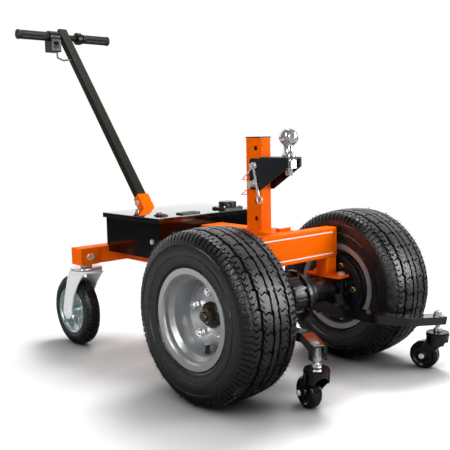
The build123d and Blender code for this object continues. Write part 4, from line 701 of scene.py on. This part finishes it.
small_rubber = rubber_finish("small_rubber", (0.008, 0.008, 0.0085), 0.26)
CASTER_FRACTIONS = (0, 0.04, 0.32, 0.36, 0.44, 0.50, 0.54, 0.82, 0.86, 0.93)
for label, sign in (("left", -1), ("right", 1)):
    low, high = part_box(label + "_rear_tyre")
    middle = (sign * SWIVEL_X, (low.y + high.y) / 2, (low.z + high.z) / 2)
    shape = moulded_tyre(caster_tyre_rows(), CASTER_FRACTIONS, (1, 2), (6, 7), middle)
    add_piece(label + "_caster_tyre", shape, label + "_rear_roller", small_rubber,
              (label + "_rear_tyre",), 32.0)


# Battery box, lid and lid fittings.
# Vacuum formed gloss black plastic that reflects the white studio, with a dark red power
# rocker, a flat charge gauge and a squat isolator knob on a screwed base.
lid_gloss = finish("lid_gloss", (0.002, 0.002, 0.002), 0.07, coat=1.0, coat_rough=0.03,
                   cloud=(5.0, 0.2), grain=(60.0, 0.02), spread=0.04)
box_gloss = finish("box_gloss", (0.0015, 0.0015, 0.0015), 0.13, cloud=(5.0, 0.2),
                   grain=(60.0, 0.02), spread=0.04, specular=0.28)
rounded_copy("moulded_box", "battery_box", "chassis", box_gloss, 3.0)
rounded_copy("moulded_lid", "box_lid", "chassis", lid_gloss, 1.6)
fitting_plastic = finish("fitting_plastic", (0.007, 0.007, 0.007), 0.24, grain=(900.0, 0.1))
for node, body in (("battery_gauge", "chassis"), ("switch_bezel", "chassis"),
                   ("isolator_base", "chassis"), ("isolator_knob", "isolator"),
                   ("switch_housing", "tiller"), ("direction_switch", "direction_toggle"),
                   ("throttle_housing", "tiller")):
    rounded_copy("moulded_" + node, node, body, fitting_plastic, 0.7)
SCREW_INSET = 0.007
base_low, base_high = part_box("isolator_base")
screw_profile = [(-0.4, 0.0), (-0.4, 3.4), (0.8, 3.4), (2.0, 2.4), (2.3, 1.2), (1.5, 1.0),
                 (1.5, 0.0)]
screws = [turned(screw_profile, (x, y, base_high.z), "z", 16)
          for x in (base_low.x + SCREW_INSET, base_high.x - SCREW_INSET)
          for y in (base_low.y + SCREW_INSET, base_high.y - SCREW_INSET)]
add_piece("isolator_screws", grid_mesh(np.stack(screws), False, True), "chassis",
          bright_zinc)
rocker_red = finish("rocker_red", (0.09, 0.004, 0.006), 0.22, coat=0.4, grain=(500.0, 0.05))
coat_nodes(rocker_red, "power_rocker")
cell_case = finish("cell_case", (0.10, 0.10, 0.11), 0.5)
coat_nodes(cell_case, "batteries", "motor_controller")


# Tiller: pole, handlebar, grips, switches and cable.
# Rectangular steel tube in olive black coat, crossed by a round bar. The grips are soft
# rubber with fine ribs between two collars.
pole_coat = finish("pole_coat", (0.010, 0.010, 0.006), 0.46, cloud=(4.0, 0.1), grain=(60.0, 0.0),
                   specular=0.22)
rounded_copy("pole_tube", "pole", "tiller", pole_coat, 1.6)
rounded_copy("cross_bar", "handlebar", "tiller", pole_coat, 0.6)
cable_jacket = finish("cable_jacket", (0.20, 0.20, 0.19), 0.45, grain=(400.0, 0.4))
coat_nodes(cable_jacket, "handle_cable")
grip_rubber = finish("grip_rubber", (0.009, 0.009, 0.009), 0.38, cloud=(40.0, 0.4),
                     grain=(1200.0, 0.12))
GRIP_RIBS, RIB_RISE = 22, 0.5


def ribbed_grip(x_open, x_closed, centre):
    """Grip about X: radius is the collar's at both ends and the barrel's between, where ribs
    follow the cosine of GRIP_RIBS times the angle round it."""
    sense = math.copysign(1.0, x_closed - x_open)
    length = abs(x_closed - x_open)
    barrel = [(along, 15.2) for along in np.linspace(12, length - 13, 18)]
    profile = np.array([(0, 11.7), (0, 15.4), (1.2, 17.0), (4.2, 17.0), (5.2, 15.6), (6.4, 14.8),
                        (9.0, 14.8), (9.8, 15.2), *barrel, (length - 10.8, 15.2),
                        (length - 10.0, 14.8), (length - 8.0, 14.8), (length - 7.0, 15.8),
                        (length - 6.0, 17.0), (length - 1.6, 17.0), (length, 15.6),
                        (length, 9.0), (length - 1.2, 8.0), (length - 1.2, 0.0)])
    along, radius = profile.T
    t = np.arange(4 * GRIP_RIBS) * 2 * np.pi / (4 * GRIP_RIBS)
    ribbed = ((along > 9.5) & (along < length - 10.5)).astype(float)
    r = (radius[:, None] + RIB_RISE * ribbed[:, None] * np.cos(GRIP_RIBS * t)) * MM
    x = x_open * MM + sense * along[:, None] * MM + 0 * t
    points = np.stack([x, centre.y + r * np.cos(t), centre.z + r * np.sin(t)], axis=-1)
    return grid_mesh(points, False, True)


for name, node, body, x_open, x_closed in (
        ("left_hand_grip", "left_grip", "tiller", -68.0, -183.0),
        ("twist_grip", "throttle_grip", "throttle", 71.0, 183.0)):
    low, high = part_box(node)
    add_piece(name, ribbed_grip(x_open, x_closed, (low + high) / 2), body,
              grip_rubber, (node,), 40.0)
